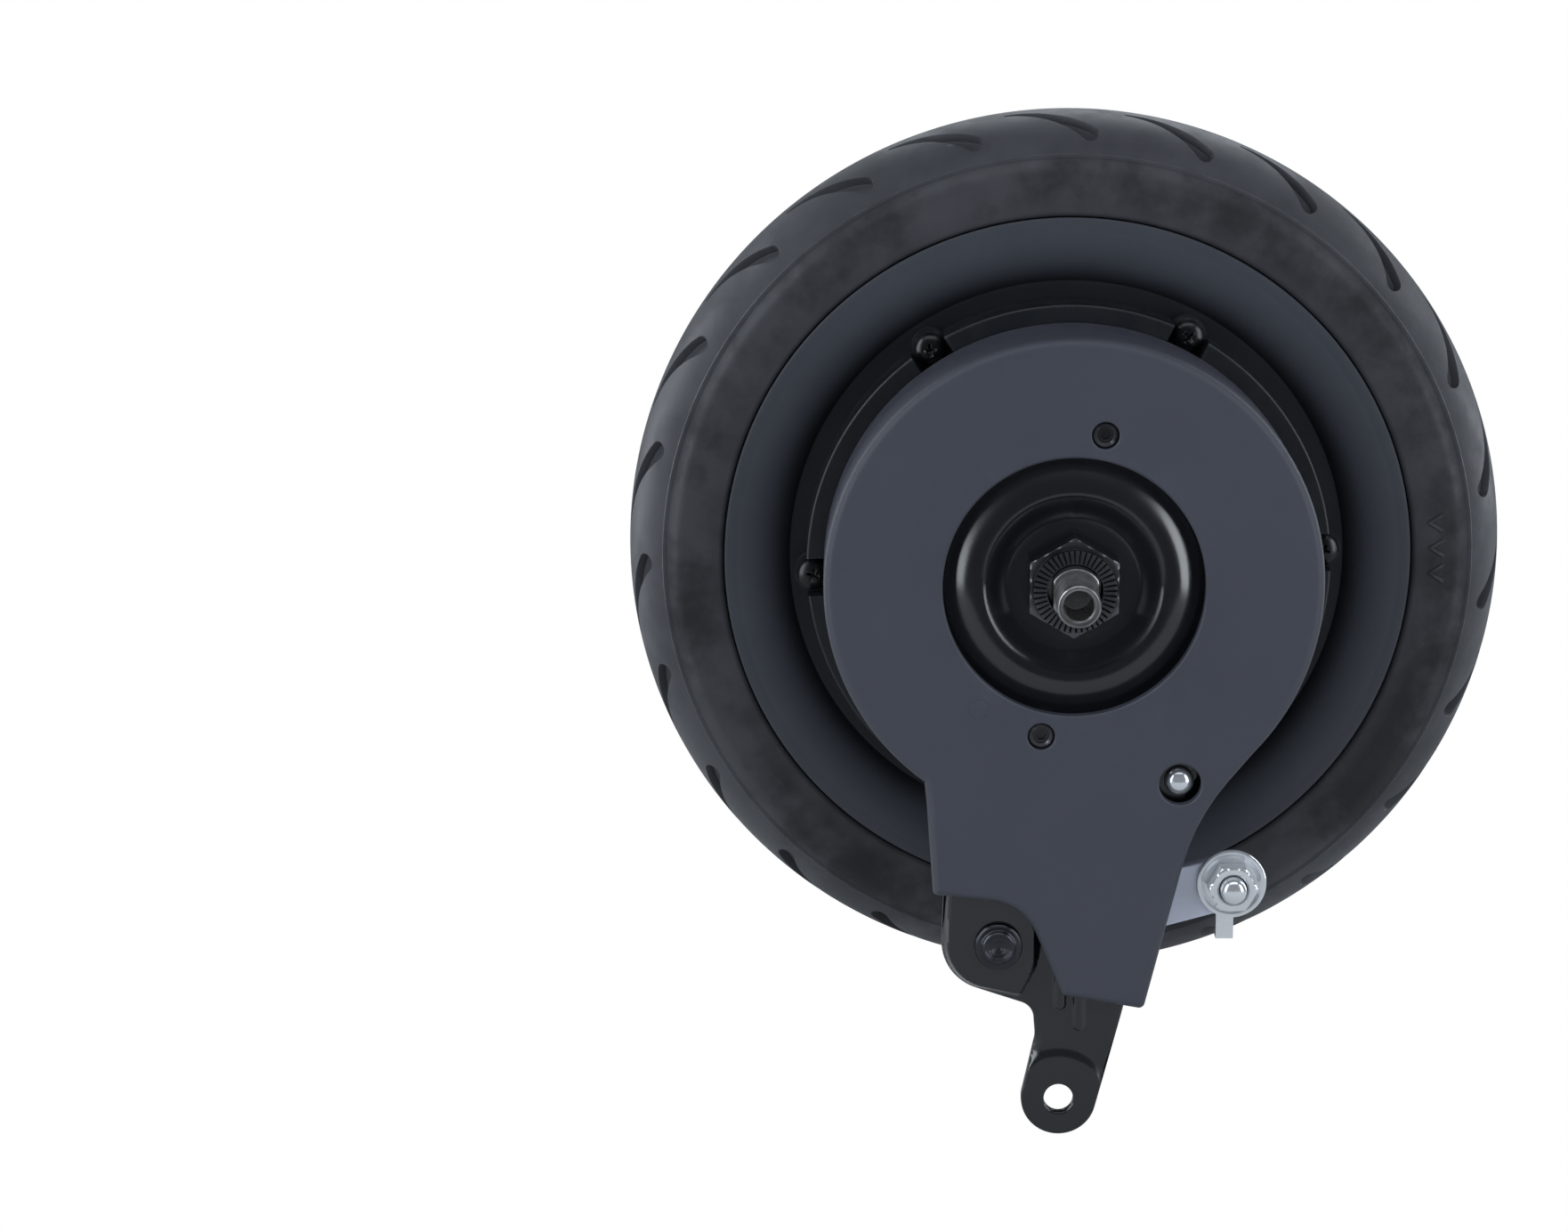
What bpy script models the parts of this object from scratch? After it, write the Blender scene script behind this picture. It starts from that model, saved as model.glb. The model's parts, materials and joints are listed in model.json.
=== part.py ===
"""Small scooter hub motor wheel with a solid tyre and an outboard band brake.

Frame: origin at the wheel's centre, +Y along the axle towards the motor side, +Z up with the
brake's reaction arm hanging along -Z, +X to the right of someone facing the brake side.
Lengths are in metres and angles in degrees.
"""
import bmesh
import bpy
import numpy as np
from math import acos, asin, atan2, cos, degrees, hypot, pi, radians, sin, sqrt, tan
from mathutils import Matrix, Vector

# ---------------------------------------------------------------- driving dimensions
fit = 0.0003                    # gap between pieces that touch
large_steps = 34                # facets of the rim and the side covers
round_steps = 32                # facets of other round pieces

# tyre and rim
tyre_radius = 0.1025
tyre_half_width = 0.0206
tread_arc_radius = 0.0240
tread_edge = 0.0193             # half width of the rounded tread
shoulder_flat_radius = 0.0905   # where the flat sidewall band ends
rim_flange_radius = 0.0796
rim_flange_thickness = 0.0028
rim_well_radius = 0.0725
rim_seat = 0.0150               # half distance between the two side cover seats
rim_seat_radius = 0.0645
rim_bore_radius = rim_seat_radius - 0.0117
slot_count = 23
slot_depth = 0.0022
slot_width = 0.0040
slot_sweep = 11.0               # degrees round the wheel from a slot's tail to its round end
slot_inner = 0.0040             # a slot's tail, from the tread's middle
slot_outer = 0.0132             # a slot's round end, from the tread's middle
slot_phase = 87.5

# motor
magnet_count = 30
magnet_thickness = 0.0030
back_iron_thickness = 0.0029
rotor_half_length = 0.0130
air_gap = 0.0008
tooth_count = 27
tooth_width = 0.0034
stator_half_length = 0.0110
winding_half_length = 0.0150
winding_depth = 0.0080
winding_outer_radius = rim_bore_radius - 0.0098     # leaves room for the tooth shoes and the magnets
winding_inner_radius = winding_outer_radius - winding_depth
stator_slot_radius = winding_inner_radius - 0.0010
stator_inner_radius = stator_slot_radius - 0.0040
board_thickness = 0.0012
board_span = 100.0

# axle, bearings and nuts
axle_radius = 0.0060
axle_flats = 0.0100
axle_seat_radius = 0.0090
axle_tip_radius = 0.0050
axle_tip_bore_radius = 0.0033
axle_tip_bore_depth = 0.0140
axle_cable_bore_radius = 0.0034
axle_cable_exit = 0.0125
axle_brake_shoulder = 0.0598    # end of the wide axle on the brake side
axle_brake_end = 0.0725
axle_motor_end = 0.0580
bearing_bore_radius = 0.0075
bearing_outer_radius = 0.0160
bearing_width = 0.0090
bearing_race = 0.0025
bearing_offset = 0.0154         # from the wheel's middle to a bearing's inner side
ball_count = 9
nut_flats = 0.0200
nut_hex_height = 0.0061
nut_collar_radius = 0.0095
nut_collar_height = 0.0035
serration_count = 16
serration_depth = 0.0005
fork_seat_brake = 0.0567        # serrated nut face on the brake side
fork_seat_motor = 0.0433
seal_radius = 0.0120
sleeve_radius = 0.0094

# side covers and their screws
cover_ring_radius = rim_seat_radius - 0.0039
cover_ring_inner = rim_bore_radius + 0.0007
cover_ring_front = 0.0270
screw_circle = rim_seat_radius - 0.0054
screw_count = 6
screw_phase = 3.0
screw_head_radius = 0.00375
screw_head_height = 0.0028
screw_radius = 0.0020
screw_length = 0.0140
screw_seat = 0.0215
lug_radius = 0.0042
notch_width = 0.0088
web_front = 0.0195
web_thickness = 0.0030
far_flange_radius = rim_seat_radius - 0.0005
far_flange_front = 0.0188
hub_wall = 0.0035

# brake drum and band
drum_radius = 0.0450
drum_wall = 0.0035
drum_front = 0.0420
drum_screw_circle = 0.0300
drum_screw_count = 4
lining_clearance = 0.0008
lining_thickness = 0.0024
band_thickness = 0.0010
band_front = 0.0412
band_width = 0.0120
band_eye_wall = 0.0014
band_pin_radius = 0.0028
band_pin_arm = 0.0128           # from the lever's pivot to the band's moving end
anchor_place = (0.0247, -0.0456)
anchor_dome_radius = 0.0034

# brake plate with its reaction arm
plate_front = 0.0482
plate_thickness = 0.0025
plate_radius = 0.0500
dish_rim_radius = 0.0330
dish_crest_radius = 0.0230
dish_crest_height = 0.0024
dish_floor_radius = 0.0160
dish_floor = 0.0468
lobe_rise = 0.0015
lobe_radius = 0.0117
pivot_place = (-0.0161, -0.0846)
pivot_pin_radius = 0.0040
pivot_collar_radius = 0.0055
eye_place = (-0.0017, -0.1220)
eye_radius = 0.0087
eye_hole_radius = 0.0034
eye_pad_radius = 0.0116         # the arm's full thickness ends this far from the eye's middle
shank_drop = 0.0005

# lever and cable pinch bolt
lever_front = 0.0454
lever_thickness = 0.0035
lever_pivot_radius = 0.0070
lever_bolt_radius = 0.0062
bolt_place = (0.0374, -0.0706)
bolt_radius = 0.0030
bolt_head_height = 0.0040
bolt_end = 0.0545
pinch_flats = 0.0100
pinch_nut_height = 0.0050
washer_radius = 0.0080
washer_thickness = 0.0012
tab_width = 0.0040
tab_reach = 0.0130

# plastic brake cover
brake_cover_front = 0.0524
brake_cover_back = 0.0276
brake_cover_radius = 0.0565
brake_cover_wall = 0.0020
brake_cover_face = 0.0024
brake_cover_fillet = 0.0020
brake_cover_hole = 0.0296
skirt_end = -0.0640             # below this height only the cover's face goes on
cover_screws = ((0.0065, 0.0347), (-0.0070, -0.0345))
cover_boss_radius = 0.0052
counterbore_radius = 0.0031
counterbore_depth = 0.0026
cover_screw_radius = 0.0015
dome_window_radius = 0.0048


# ---------------------------------------------------------------- helpers
def clear_scene():
    for leftover in list(bpy.data.objects):
        bpy.data.objects.remove(leftover, do_unlink=True)


def paint(thing, colour, roughness, metallic=0.0):
    material = bpy.data.materials.new(thing.name)
    material.use_nodes = True
    shader = material.node_tree.nodes["Principled BSDF"]
    shader.inputs["Base Color"].default_value = (*colour, 1.0)
    shader.inputs["Roughness"].default_value = roughness
    shader.inputs["Metallic"].default_value = metallic
    thing.data.materials.clear()
    thing.data.materials.append(material)
    return thing


def place(name, bm, origin=(0.0, 0.0, 0.0), smooth_angle=35.0):
    """Turns a bmesh drawn in the wheel's frame into an object whose origin is at `origin`."""
    bmesh.ops.recalc_face_normals(bm, faces=bm.faces)
    bmesh.ops.translate(bm, verts=bm.verts, vec=-Vector(origin))
    mesh = bpy.data.meshes.new(name)
    bm.to_mesh(mesh)
    bm.free()
    mesh.shade_smooth()
    mesh.set_sharp_from_angle(angle=radians(smooth_angle))
    thing = bpy.data.objects.new(name, mesh)
    thing.location = origin
    bpy.context.collection.objects.link(thing)
    return thing


def turned(bm, profile, steps=round_steps, closed=True, phase=0.0):
    """Spins (radius, y) points round the Y axis into `bm`."""
    turn = Matrix.Rotation(radians(phase), 3, "Y")
    corners = [bm.verts.new(turn @ Vector((radius, y, 0.0))) for radius, y in profile]
    pairs = list(zip(corners, corners[1:]))
    if closed:
        pairs.append((corners[-1], corners[0]))
    edges = [bm.edges.new(pair) for pair in pairs]
    bmesh.ops.spin(bm, geom=corners + edges, axis=(0.0, 1.0, 0.0), angle=2 * pi, steps=steps)
    bmesh.ops.remove_doubles(bm, verts=bm.verts, dist=1e-6)
    return bm


def spun(profile, steps=round_steps, closed=True, phase=0.0):
    return turned(bmesh.new(), profile, steps, closed, phase)


def disc(radius, front, back, centre=(0.0, 0.0), steps=20, bm=None):
    """A round bar along Y between two y stations."""
    bm = bm or bmesh.new()
    matrix = Matrix.Translation((centre[0], (front + back) / 2, centre[1])) @ Matrix.Rotation(pi / 2, 4, "X")
    bmesh.ops.create_cone(
        bm, cap_ends=True, segments=steps, radius1=radius, radius2=radius, depth=abs(back - front), matrix=matrix
    )
    return bm


def box(low, high, bm=None, matrix=None):
    bm = bm or bmesh.new()
    middle = [(a + b) / 2 for a, b in zip(low, high)]
    size = Matrix.Diagonal([b - a for a, b in zip(low, high)] + [1.0])
    bmesh.ops.create_cube(bm, size=1.0, matrix=(matrix or Matrix()) @ Matrix.Translation(middle) @ size)
    return bm


def loft(outlines, bm=None):
    """Joins equal outlines of 3-D points, one after another, and caps both ends."""
    bm = bm or bmesh.new()
    loops = [[bm.verts.new(point) for point in outline] for outline in outlines]
    for lower, upper in zip(loops, loops[1:]):
        for i in range(len(lower)):
            j = (i + 1) % len(lower)
            bm.faces.new((lower[i], lower[j], upper[j], upper[i]))
    bm.faces.new(loops[0])
    bm.faces.new(list(reversed(loops[-1])))
    return bm


def slab(outline, front, back, bm=None):
    """An (x, z) outline as a plate between two y stations."""
    return loft([[(x, y, z) for x, z in outline] for y in (front, back)], bm)


def arc(centre, radius, start, end, step=9.0):
    count = max(2, round(abs(end - start) / step) + 1)
    angles = np.radians(np.linspace(start, end, count))
    return [(centre[0] + radius * cos(a), centre[1] + radius * sin(a)) for a in angles]


def rounded(corners, step=15.0):
    """An outline through (x, z, fillet radius) corners; a corner without a radius stays sharp."""
    points = []
    count = len(corners)
    for i, (x, z, radius) in enumerate(corners):
        if radius <= 0.0:
            points.append((x, z))
            continue
        here = Vector((x, z))
        before = (Vector(corners[i - 1][:2]) - here).normalized()
        after = (Vector(corners[(i + 1) % count][:2]) - here).normalized()
        half = before.angle(after) / 2
        centre = here + (before + after).normalized() * (radius / sin(half))
        start = here + before * (radius / tan(half)) - centre
        end = here + after * (radius / tan(half)) - centre
        first = degrees(atan2(start.y, start.x))
        turn = (degrees(atan2(end.y, end.x)) - first + 180.0) % 360.0 - 180.0
        points += arc(centre, radius, first, first + turn, step)
    return points


def inset(corners, distance):
    """Moves each side of a clockwise outline of (x, z, fillet radius) corners inwards."""
    points = [Vector(corner[:2]) for corner in corners]
    moved = []
    for i, here in enumerate(points):
        before = (here - points[i - 1]).normalized()
        after = (points[(i + 1) % len(points)] - here).normalized()
        tangent = (before + after).normalized()
        inward = Vector((tangent.y, -tangent.x))
        spot = here + inward * (distance / max(0.5, tangent.dot(after)))
        radius = corners[i][2]
        if radius > 0.0:
            turns_left = before.cross(after) > 0.0
            radius = max(0.0004, radius + (distance if turns_left else -distance))
        moved.append((spot.x, spot.y, radius))
    return moved


def sharp(outline):
    return [(x, z, 0.0) for x, z in outline]


def stacked(corners, stations, step=15.0):
    """A solid through the same outline inset by a different amount at each (y, inset) station."""
    return [[(x, y, z) for x, z in rounded(inset(corners, amount), step)] for y, amount in stations]


def around(count, phase=0.0):
    """Angles in degrees of `count` even places round the axle, anticlockwise from +X."""
    return [phase + 360.0 * i / count for i in range(count)]


def polar(radius, angle):
    return radius * cos(radians(angle)), radius * sin(radians(angle))


def combine(thing, bm, operation, name=None):
    """Adds an EXACT Boolean whose other operand is a hidden guide object."""
    guide = place((name or thing.name) + f"_{operation.lower()}_{len(thing.modifiers)}", bm)
    guide.hide_render = True
    guide.display_type = "WIRE"
    step = thing.modifiers.new(guide.name, "BOOLEAN")
    step.operation = operation
    step.object = guide
    return guide


def cut(thing, bm):
    return combine(thing, bm, "DIFFERENCE")


def join(thing, bm):
    return combine(thing, bm, "UNION")


def link(name, mesh_of, matrix):
    """A further copy of a piece, sharing its mesh."""
    copy = bpy.data.objects.new(name, mesh_of.data)
    copy.matrix_world = matrix
    bpy.context.collection.objects.link(copy)
    return copy


# ---------------------------------------------------------------- tyre and rim
def tread_radius(y):
    return tyre_radius - tread_arc_radius + sqrt(tread_arc_radius**2 - y**2)


def tread_slot(bm, angle, side):
    """One comma-shaped shoulder slot that widens to a round end towards the sidewall."""
    steps = 2
    left = []
    right = []
    for i in range(steps + 1):
        along = i / steps
        place_angle = angle + slot_sweep * (1.0 - along)
        y = slot_inner + (slot_outer - slot_inner) * along**1.7
        width = slot_width * (0.35 + 0.65 * along) / 2
        slope = 1.7 * (slot_outer - slot_inner) * along**0.7 + 1e-5
        run = radians(slot_sweep) * tyre_radius
        length = hypot(slope, run)
        across = degrees(width * slope / length / tyre_radius)
        left.append((place_angle + across, y + width * run / length))
        right.append((place_angle - across, y - width * run / length))
    tip_angle = angle - degrees(slot_width * 0.42 / tyre_radius)
    tip = [(tip_angle, slot_outer + slot_width * 0.35)]
    tail = [(left[0][0], (left[0][1] + right[0][1]) / 2)]
    outline = tail + left[1:] + tip + right[:0:-1]
    loops = []
    for depth in (-slot_depth, 0.0020):
        loop = []
        for around_angle, y in outline:
            lean = asin(y / tread_arc_radius)
            radius = tread_radius(y) + depth * cos(lean)
            x, z = polar(radius, around_angle)
            loop.append((x, side * (y + depth * sin(lean)), z))
        loops.append(loop)
    return loft(loops, bm)


def make_tyre():
    edge = asin(tread_edge / tread_arc_radius)
    tread = [
        (tyre_radius - tread_arc_radius + tread_arc_radius * cos(a), tread_arc_radius * sin(a))
        for a in np.linspace(-edge, edge, 7)
    ]
    bead = rim_flange_radius + fit
    plug = rim_well_radius + fit
    neck = tyre_half_width - rim_flange_thickness - fit
    side = [
        (shoulder_flat_radius, tyre_half_width),
        (bead, tyre_half_width),
        (bead, neck),
        (plug, neck),
    ]
    profile = tread + side + [(radius, -y) for radius, y in reversed(side)]
    tyre = place("tyre", spun(profile, 2 * slot_count))
    slots = bmesh.new()
    for side_sign in (-1, 1):
        for angle in around(slot_count, slot_phase):
            tread_slot(slots, angle, side_sign)
    cut(tyre, slots)
    return paint(tyre, (0.020, 0.020, 0.022), 0.75)


def rim_face():
    """The rim's dished side, from the flange down to the side cover's seat."""
    edge = tyre_half_width
    depth = edge - rim_seat
    width = rim_flange_radius - 0.0028 - rim_seat_radius
    swell = [(rim_flange_radius, edge), (rim_flange_radius - 0.0028, edge)]
    for along in (0.36, 0.70, 1.0):
        drop = depth * (along**2.6)
        swell.append((rim_flange_radius - 0.0028 - width * along, edge - drop))
    return swell


def make_rim():
    flange = tyre_half_width - rim_flange_thickness
    face = rim_face() + [(rim_bore_radius, rim_seat)]
    outer = [(rim_well_radius, flange), (rim_flange_radius, flange)]
    half = outer + face
    profile = half + [(radius, -y) for radius, y in reversed(half)]
    rim = place("wheel_rim", spun(profile, large_steps))
    holes = bmesh.new()
    depth = screw_length - (screw_seat - rim_seat) + 0.0010
    for angle in around(screw_count, screw_phase):
        for side in (-1, 1):
            disc(screw_radius + fit, side * (rim_seat - depth), side * 0.03, polar(screw_circle, angle), 8, holes)
    cut(rim, holes)
    return paint(rim, (0.030, 0.032, 0.037), 0.45, 0.6)


# ---------------------------------------------------------------- motor
def rotor_radii():
    """Outer radius of the back iron, joint radius and inner radius of the magnets."""
    outer = rim_bore_radius - fit
    joint = outer - back_iron_thickness
    return outer, joint, joint - fit - magnet_thickness


def make_back_iron():
    outer, joint, _ = rotor_radii()
    half = rotor_half_length
    ring = place("rotor_back_iron", spun([(outer, -half), (outer, half), (joint, half), (joint, -half)], magnet_count))
    return paint(ring, (0.30, 0.30, 0.31), 0.45, 1.0)


def make_magnets():
    """Flat magnet blocks side by side, with the shallow groove left between each two."""
    _, joint, inner = rotor_radii()
    half = rotor_half_length - 0.0010
    outer = joint - fit
    groove = inner + magnet_thickness * 0.45
    pitch = 360.0 / magnet_count
    inside = []
    for angle in around(magnet_count):
        inside += [polar(inner, angle - 0.43 * pitch), polar(inner, angle + 0.43 * pitch)]
        inside.append(polar(groove, angle + 0.5 * pitch))
    outside = [polar(outer, angle) for angle in around(magnet_count)]
    ring = place("magnet_ring", slab(outside, -half, half))
    cut(ring, slab(inside, -half - 0.001, half + 0.001))
    return paint(ring, (0.42, 0.42, 0.43), 0.35, 1.0)


def stator_outer():
    return rotor_radii()[2] - air_gap


def make_stator_core():
    """The laminated core: each tooth widens to a shoe that faces the magnets."""
    outer = stator_outer()
    pitch = 360.0 / tooth_count
    neck = outer - 0.0024
    teeth = []
    for angle in around(tooth_count):
        root = degrees(asin(tooth_width / 2 / stator_slot_radius))
        top = degrees(asin(tooth_width / 2 / neck))
        teeth += [polar(stator_slot_radius, angle - root), polar(neck, angle - top)]
        teeth += [polar(outer, angle - 0.40 * pitch), polar(outer, angle + 0.40 * pitch)]
        teeth += [polar(neck, angle + top), polar(stator_slot_radius, angle + root)]
    half = stator_half_length
    core = place("stator_core", slab(teeth, -half, half))
    cut(core, disc(stator_inner_radius, -half - 0.001, half + 0.001, steps=tooth_count))
    return paint(core, (0.34, 0.34, 0.35), 0.5, 1.0)


def make_windings():
    """Copper that fills the slots and loops over the core's two ends."""
    half = winding_half_length
    profile = [
        (winding_outer_radius, -half), (winding_outer_radius, half),
        (winding_inner_radius, half), (winding_inner_radius, -half),
    ]
    windings = place("stator_windings", spun(profile, tooth_count, phase=180.0 / tooth_count))
    windows = bmesh.new()
    for angle in around(tooth_count):
        turn = Matrix.Rotation(-radians(angle), 4, "Y")
        reach = stator_half_length + fit
        side = tooth_width / 2 + fit
        box((winding_inner_radius - 0.002, -reach, -side), (winding_outer_radius + 0.002, reach, side), windows, turn)
    cut(windings, windows)
    return paint(windings, (0.45, 0.16, 0.05), 0.4, 0.8)


def make_stator_spider():
    """The cast hub that carries the core on the axle, lightened by round holes."""
    outer = stator_inner_radius - fit
    bore = axle_seat_radius + fit
    half = stator_half_length - 0.0020
    boss = bore + 0.0055
    web = 0.0030
    profile = [
        (outer, -half), (outer, half), (outer - 0.0040, half), (outer - 0.0040, web), (boss, web),
        (boss, stator_half_length - 0.0005), (bore, stator_half_length - 0.0005),
        (bore, -stator_half_length + 0.0005), (boss, -stator_half_length + 0.0005),
        (boss, -web), (outer - 0.0040, -web), (outer - 0.0040, -half),
    ]
    spider = place("stator_spider", spun(profile, 16))
    holes = bmesh.new()
    room = outer - 0.0040 - boss
    for angle in around(5, 18.0):
        disc(0.37 * room, -0.02, 0.02, polar(boss + room / 2, angle), 8, holes)
    cut(spider, holes)
    return paint(spider, (0.55, 0.56, 0.57), 0.5, 1.0)


def make_sensor_board():
    inner = winding_inner_radius - 0.0010
    outer = winding_outer_radius + 0.0005
    low = 90.0 - board_span / 2
    high = 90.0 + board_span / 2
    outline = arc((0, 0), outer, high, low, 20.0) + arc((0, 0), inner, low, high, 20.0)
    front = winding_half_length + fit
    board = place("hall_sensor_board", slab(outline, front, front + board_thickness))
    return paint(board, (0.02, 0.16, 0.06), 0.45)


# ---------------------------------------------------------------- axle, bearings, nuts
def make_axle():
    journal = bearing_bore_radius - fit
    journal_end = bearing_offset + bearing_width
    seat_end = bearing_offset - fit
    bevel = 0.0006
    bore_end = axle_brake_end - axle_tip_bore_depth
    profile = [
        (0.0, -bore_end),
        (axle_tip_bore_radius, -bore_end - 0.0012),
        (axle_tip_bore_radius, -axle_brake_end + bevel),
        (axle_tip_bore_radius + bevel, -axle_brake_end),
        (axle_tip_radius - bevel, -axle_brake_end),
        (axle_tip_radius, -axle_brake_end + bevel),
        (axle_tip_radius, -axle_brake_shoulder),
        (axle_radius - bevel, -axle_brake_shoulder),
        (axle_radius, -axle_brake_shoulder + bevel),
        (axle_radius, -journal_end),
        (journal, -journal_end),
        (journal, -seat_end),
        (axle_seat_radius, -seat_end),
        (axle_seat_radius, seat_end),
        (journal, seat_end),
        (journal, journal_end),
        (axle_radius, journal_end),
        (axle_radius, axle_motor_end - bevel),
        (axle_radius - bevel, axle_motor_end),
        (axle_cable_bore_radius + bevel, axle_motor_end),
        (axle_cable_bore_radius, axle_motor_end - bevel),
        (axle_cable_bore_radius, axle_cable_exit - 0.0010),
        (0.0, axle_cable_exit - 0.0026),
    ]
    axle = place("axle", spun(profile, 14, closed=False))
    cutters = bmesh.new()
    for side in (-1, 1):
        near = side * axle_flats / 2
        far = side * (axle_radius + 0.002)
        low, high = min(near, far), max(near, far)
        box((low, -axle_brake_shoulder - 0.0004, -0.01), (high, -plate_front - 0.0035, 0.01), cutters)
        box((low, fork_seat_motor - 0.0080, -0.01), (high, axle_motor_end + 0.001, 0.01), cutters)
    cut(axle, cutters)
    exit_hole = bmesh.new()
    turn = Matrix.Translation((0.0, axle_cable_exit, axle_seat_radius))
    bmesh.ops.create_cone(
        exit_hole, cap_ends=True, segments=12, radius1=0.0020, radius2=0.0020, depth=2 * axle_seat_radius - 0.004,
        matrix=turn,
    )
    cut(axle, exit_hole)
    return paint(axle, (0.16, 0.16, 0.17), 0.35, 1.0)


def hexagon(flats, phase=30.0):
    return [polar(flats / sqrt(3.0), angle) for angle in around(6, phase)]


def make_axle_nut(name, seat, side):
    """A hex nut whose round collar bites the fork with radial serrations."""
    collar_base = seat - nut_collar_height
    base = collar_base - nut_hex_height
    nut = place(name, slab(hexagon(nut_flats), side * base, side * (collar_base + 0.0004)))
    collar = disc(nut_collar_radius, side * (base + 0.002), side * seat, steps=serration_count)
    join(nut, collar)
    teeth = bmesh.new()
    pitch = 360.0 / serration_count
    for angle in around(serration_count, pitch / 2):
        inner, outer = 0.0055, nut_collar_radius + 0.0008
        half = radians(pitch) * outer * 0.25
        turn = Matrix.Rotation(-radians(angle), 4, "Y")
        deep, high = side * (seat - serration_depth), side * (seat + 0.0004)
        rows = [[(reach, deep, 0.0), (reach, high, half), (reach, high, -half)] for reach in (inner, outer)]
        loft([[turn @ Vector(point) for point in row] for row in rows], teeth)
    cut(nut, teeth)
    cut(nut, disc(axle_radius + fit, side * (base - 0.002), side * (seat + 0.002), steps=16))
    return paint(nut, (0.05, 0.05, 0.055), 0.3, 0.9)


def make_sleeve(name, near, far):
    bore = axle_radius + fit
    profile = [(bore, near), (sleeve_radius, near), (sleeve_radius, far), (bore, far)]
    return paint(place(name, spun(profile, 14)), (0.42, 0.42, 0.43), 0.35, 1.0)


def make_bearing(prefix, side):
    """Inner race, outer race and the balls in their cage, each a ring of its own."""
    near = side * bearing_offset
    far = side * (bearing_offset + bearing_width)
    inner_top = bearing_bore_radius + bearing_race
    outer_low = bearing_outer_radius - bearing_race
    steps = 2 * ball_count
    middle = (near + far) / 2
    pieces = []
    for suffix, low, high in (("inner_race", bearing_bore_radius, inner_top), ("outer_race", outer_low, bearing_outer_radius)):
        profile = [(low, near), (high, near), (high, far), (low, far)]
        pieces.append(place(f"{prefix}_{suffix}", spun(profile, steps)))
    track = (inner_top + outer_low) / 2
    ball = (outer_low - inner_top) / 2 - fit
    bm = bmesh.new()
    rings = []
    for i in range(2 * ball_count):
        tube = ball if i % 2 == 0 else ball * 0.45
        x, z = polar(1.0, 180.0 * i / ball_count)
        ring = []
        for turn in around(6):
            across, along = polar(tube, turn)
            ring.append(bm.verts.new(((track + across) * x, middle + along, (track + across) * z)))
        rings.append(ring)
    for a, b in zip(rings, rings[1:] + rings[:1]):
        for i in range(6):
            j = (i + 1) % 6
            bm.faces.new((a[i], a[j], b[j], b[i]))
    pieces.append(place(f"{prefix}_ball_ring", bm))
    for piece in pieces:
        paint(piece, (0.60, 0.60, 0.61), 0.22, 1.0)
    return pieces


def make_seal(name, near, far):
    inner = sleeve_radius + 0.0004
    outer = seal_radius - fit
    profile = [(inner, near), (outer, near), (outer, far), (inner, far)]
    return paint(place(name, spun(profile, 14)), (0.015, 0.015, 0.016), 0.7)


# ---------------------------------------------------------------- side covers and screws
def seal_stations(front):
    back = bearing_offset + bearing_width + fit + 0.0003
    return back, front - 0.0002


def make_brake_side_cover():
    """Rotating cover with the raised notched ring, the bearing seat and six screw lugs."""
    seat = rim_seat + fit
    bearing_seat = bearing_outer_radius + fit
    hub = bearing_seat + hub_wall
    lip = bearing_offset + bearing_width + fit
    front = lip + 0.0018
    back = web_front - web_thickness
    spigot = rim_bore_radius - fit
    profile = [
        (cover_ring_radius, -seat), (cover_ring_radius, -cover_ring_front + 0.0006),
        (cover_ring_radius - 0.0006, -cover_ring_front), (cover_ring_inner, -cover_ring_front),
        (cover_ring_inner, -web_front), (hub, -web_front), (hub, -front),
        (seal_radius, -front), (seal_radius, -lip), (bearing_seat, -lip),
        (bearing_seat, -bearing_offset + 0.0002), (hub, -bearing_offset + 0.0002), (hub, -back),
        (spigot - 0.0022, -back), (spigot - 0.0022, -rim_seat + 0.0013), (spigot, -rim_seat + 0.0013),
        (spigot, -seat),
    ]
    cover = place("brake_side_cover", spun(profile, large_steps))
    lugs = bmesh.new()
    for angle in around(screw_count, screw_phase):
        disc(lug_radius, -seat - 0.0002, -screw_seat - 0.0008, polar(screw_circle, angle), 8, lugs)
    join(cover, lugs)
    pockets = bmesh.new()
    for angle in around(screw_count, screw_phase):
        turn = Matrix.Rotation(-radians(angle), 4, "Y")
        low = (screw_circle - screw_head_radius - 0.0006, -cover_ring_front - 0.002, -notch_width / 2)
        high = (screw_circle + lug_radius + 0.002, -screw_seat, notch_width / 2)
        box(low, high, pockets, turn)
    cut(cover, pockets)
    holes = bmesh.new()
    for angle in around(screw_count, screw_phase):
        disc(screw_radius + fit, -0.030, -0.010, polar(screw_circle, angle), 8, holes)
    for angle in around(drum_screw_count, 45.0):
        disc(screw_radius + fit, -0.030, -0.010, polar(drum_screw_circle, angle), 8, holes)
    cut(cover, holes)
    return paint(cover, (0.050, 0.052, 0.060), 0.5, 0.5)


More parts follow.
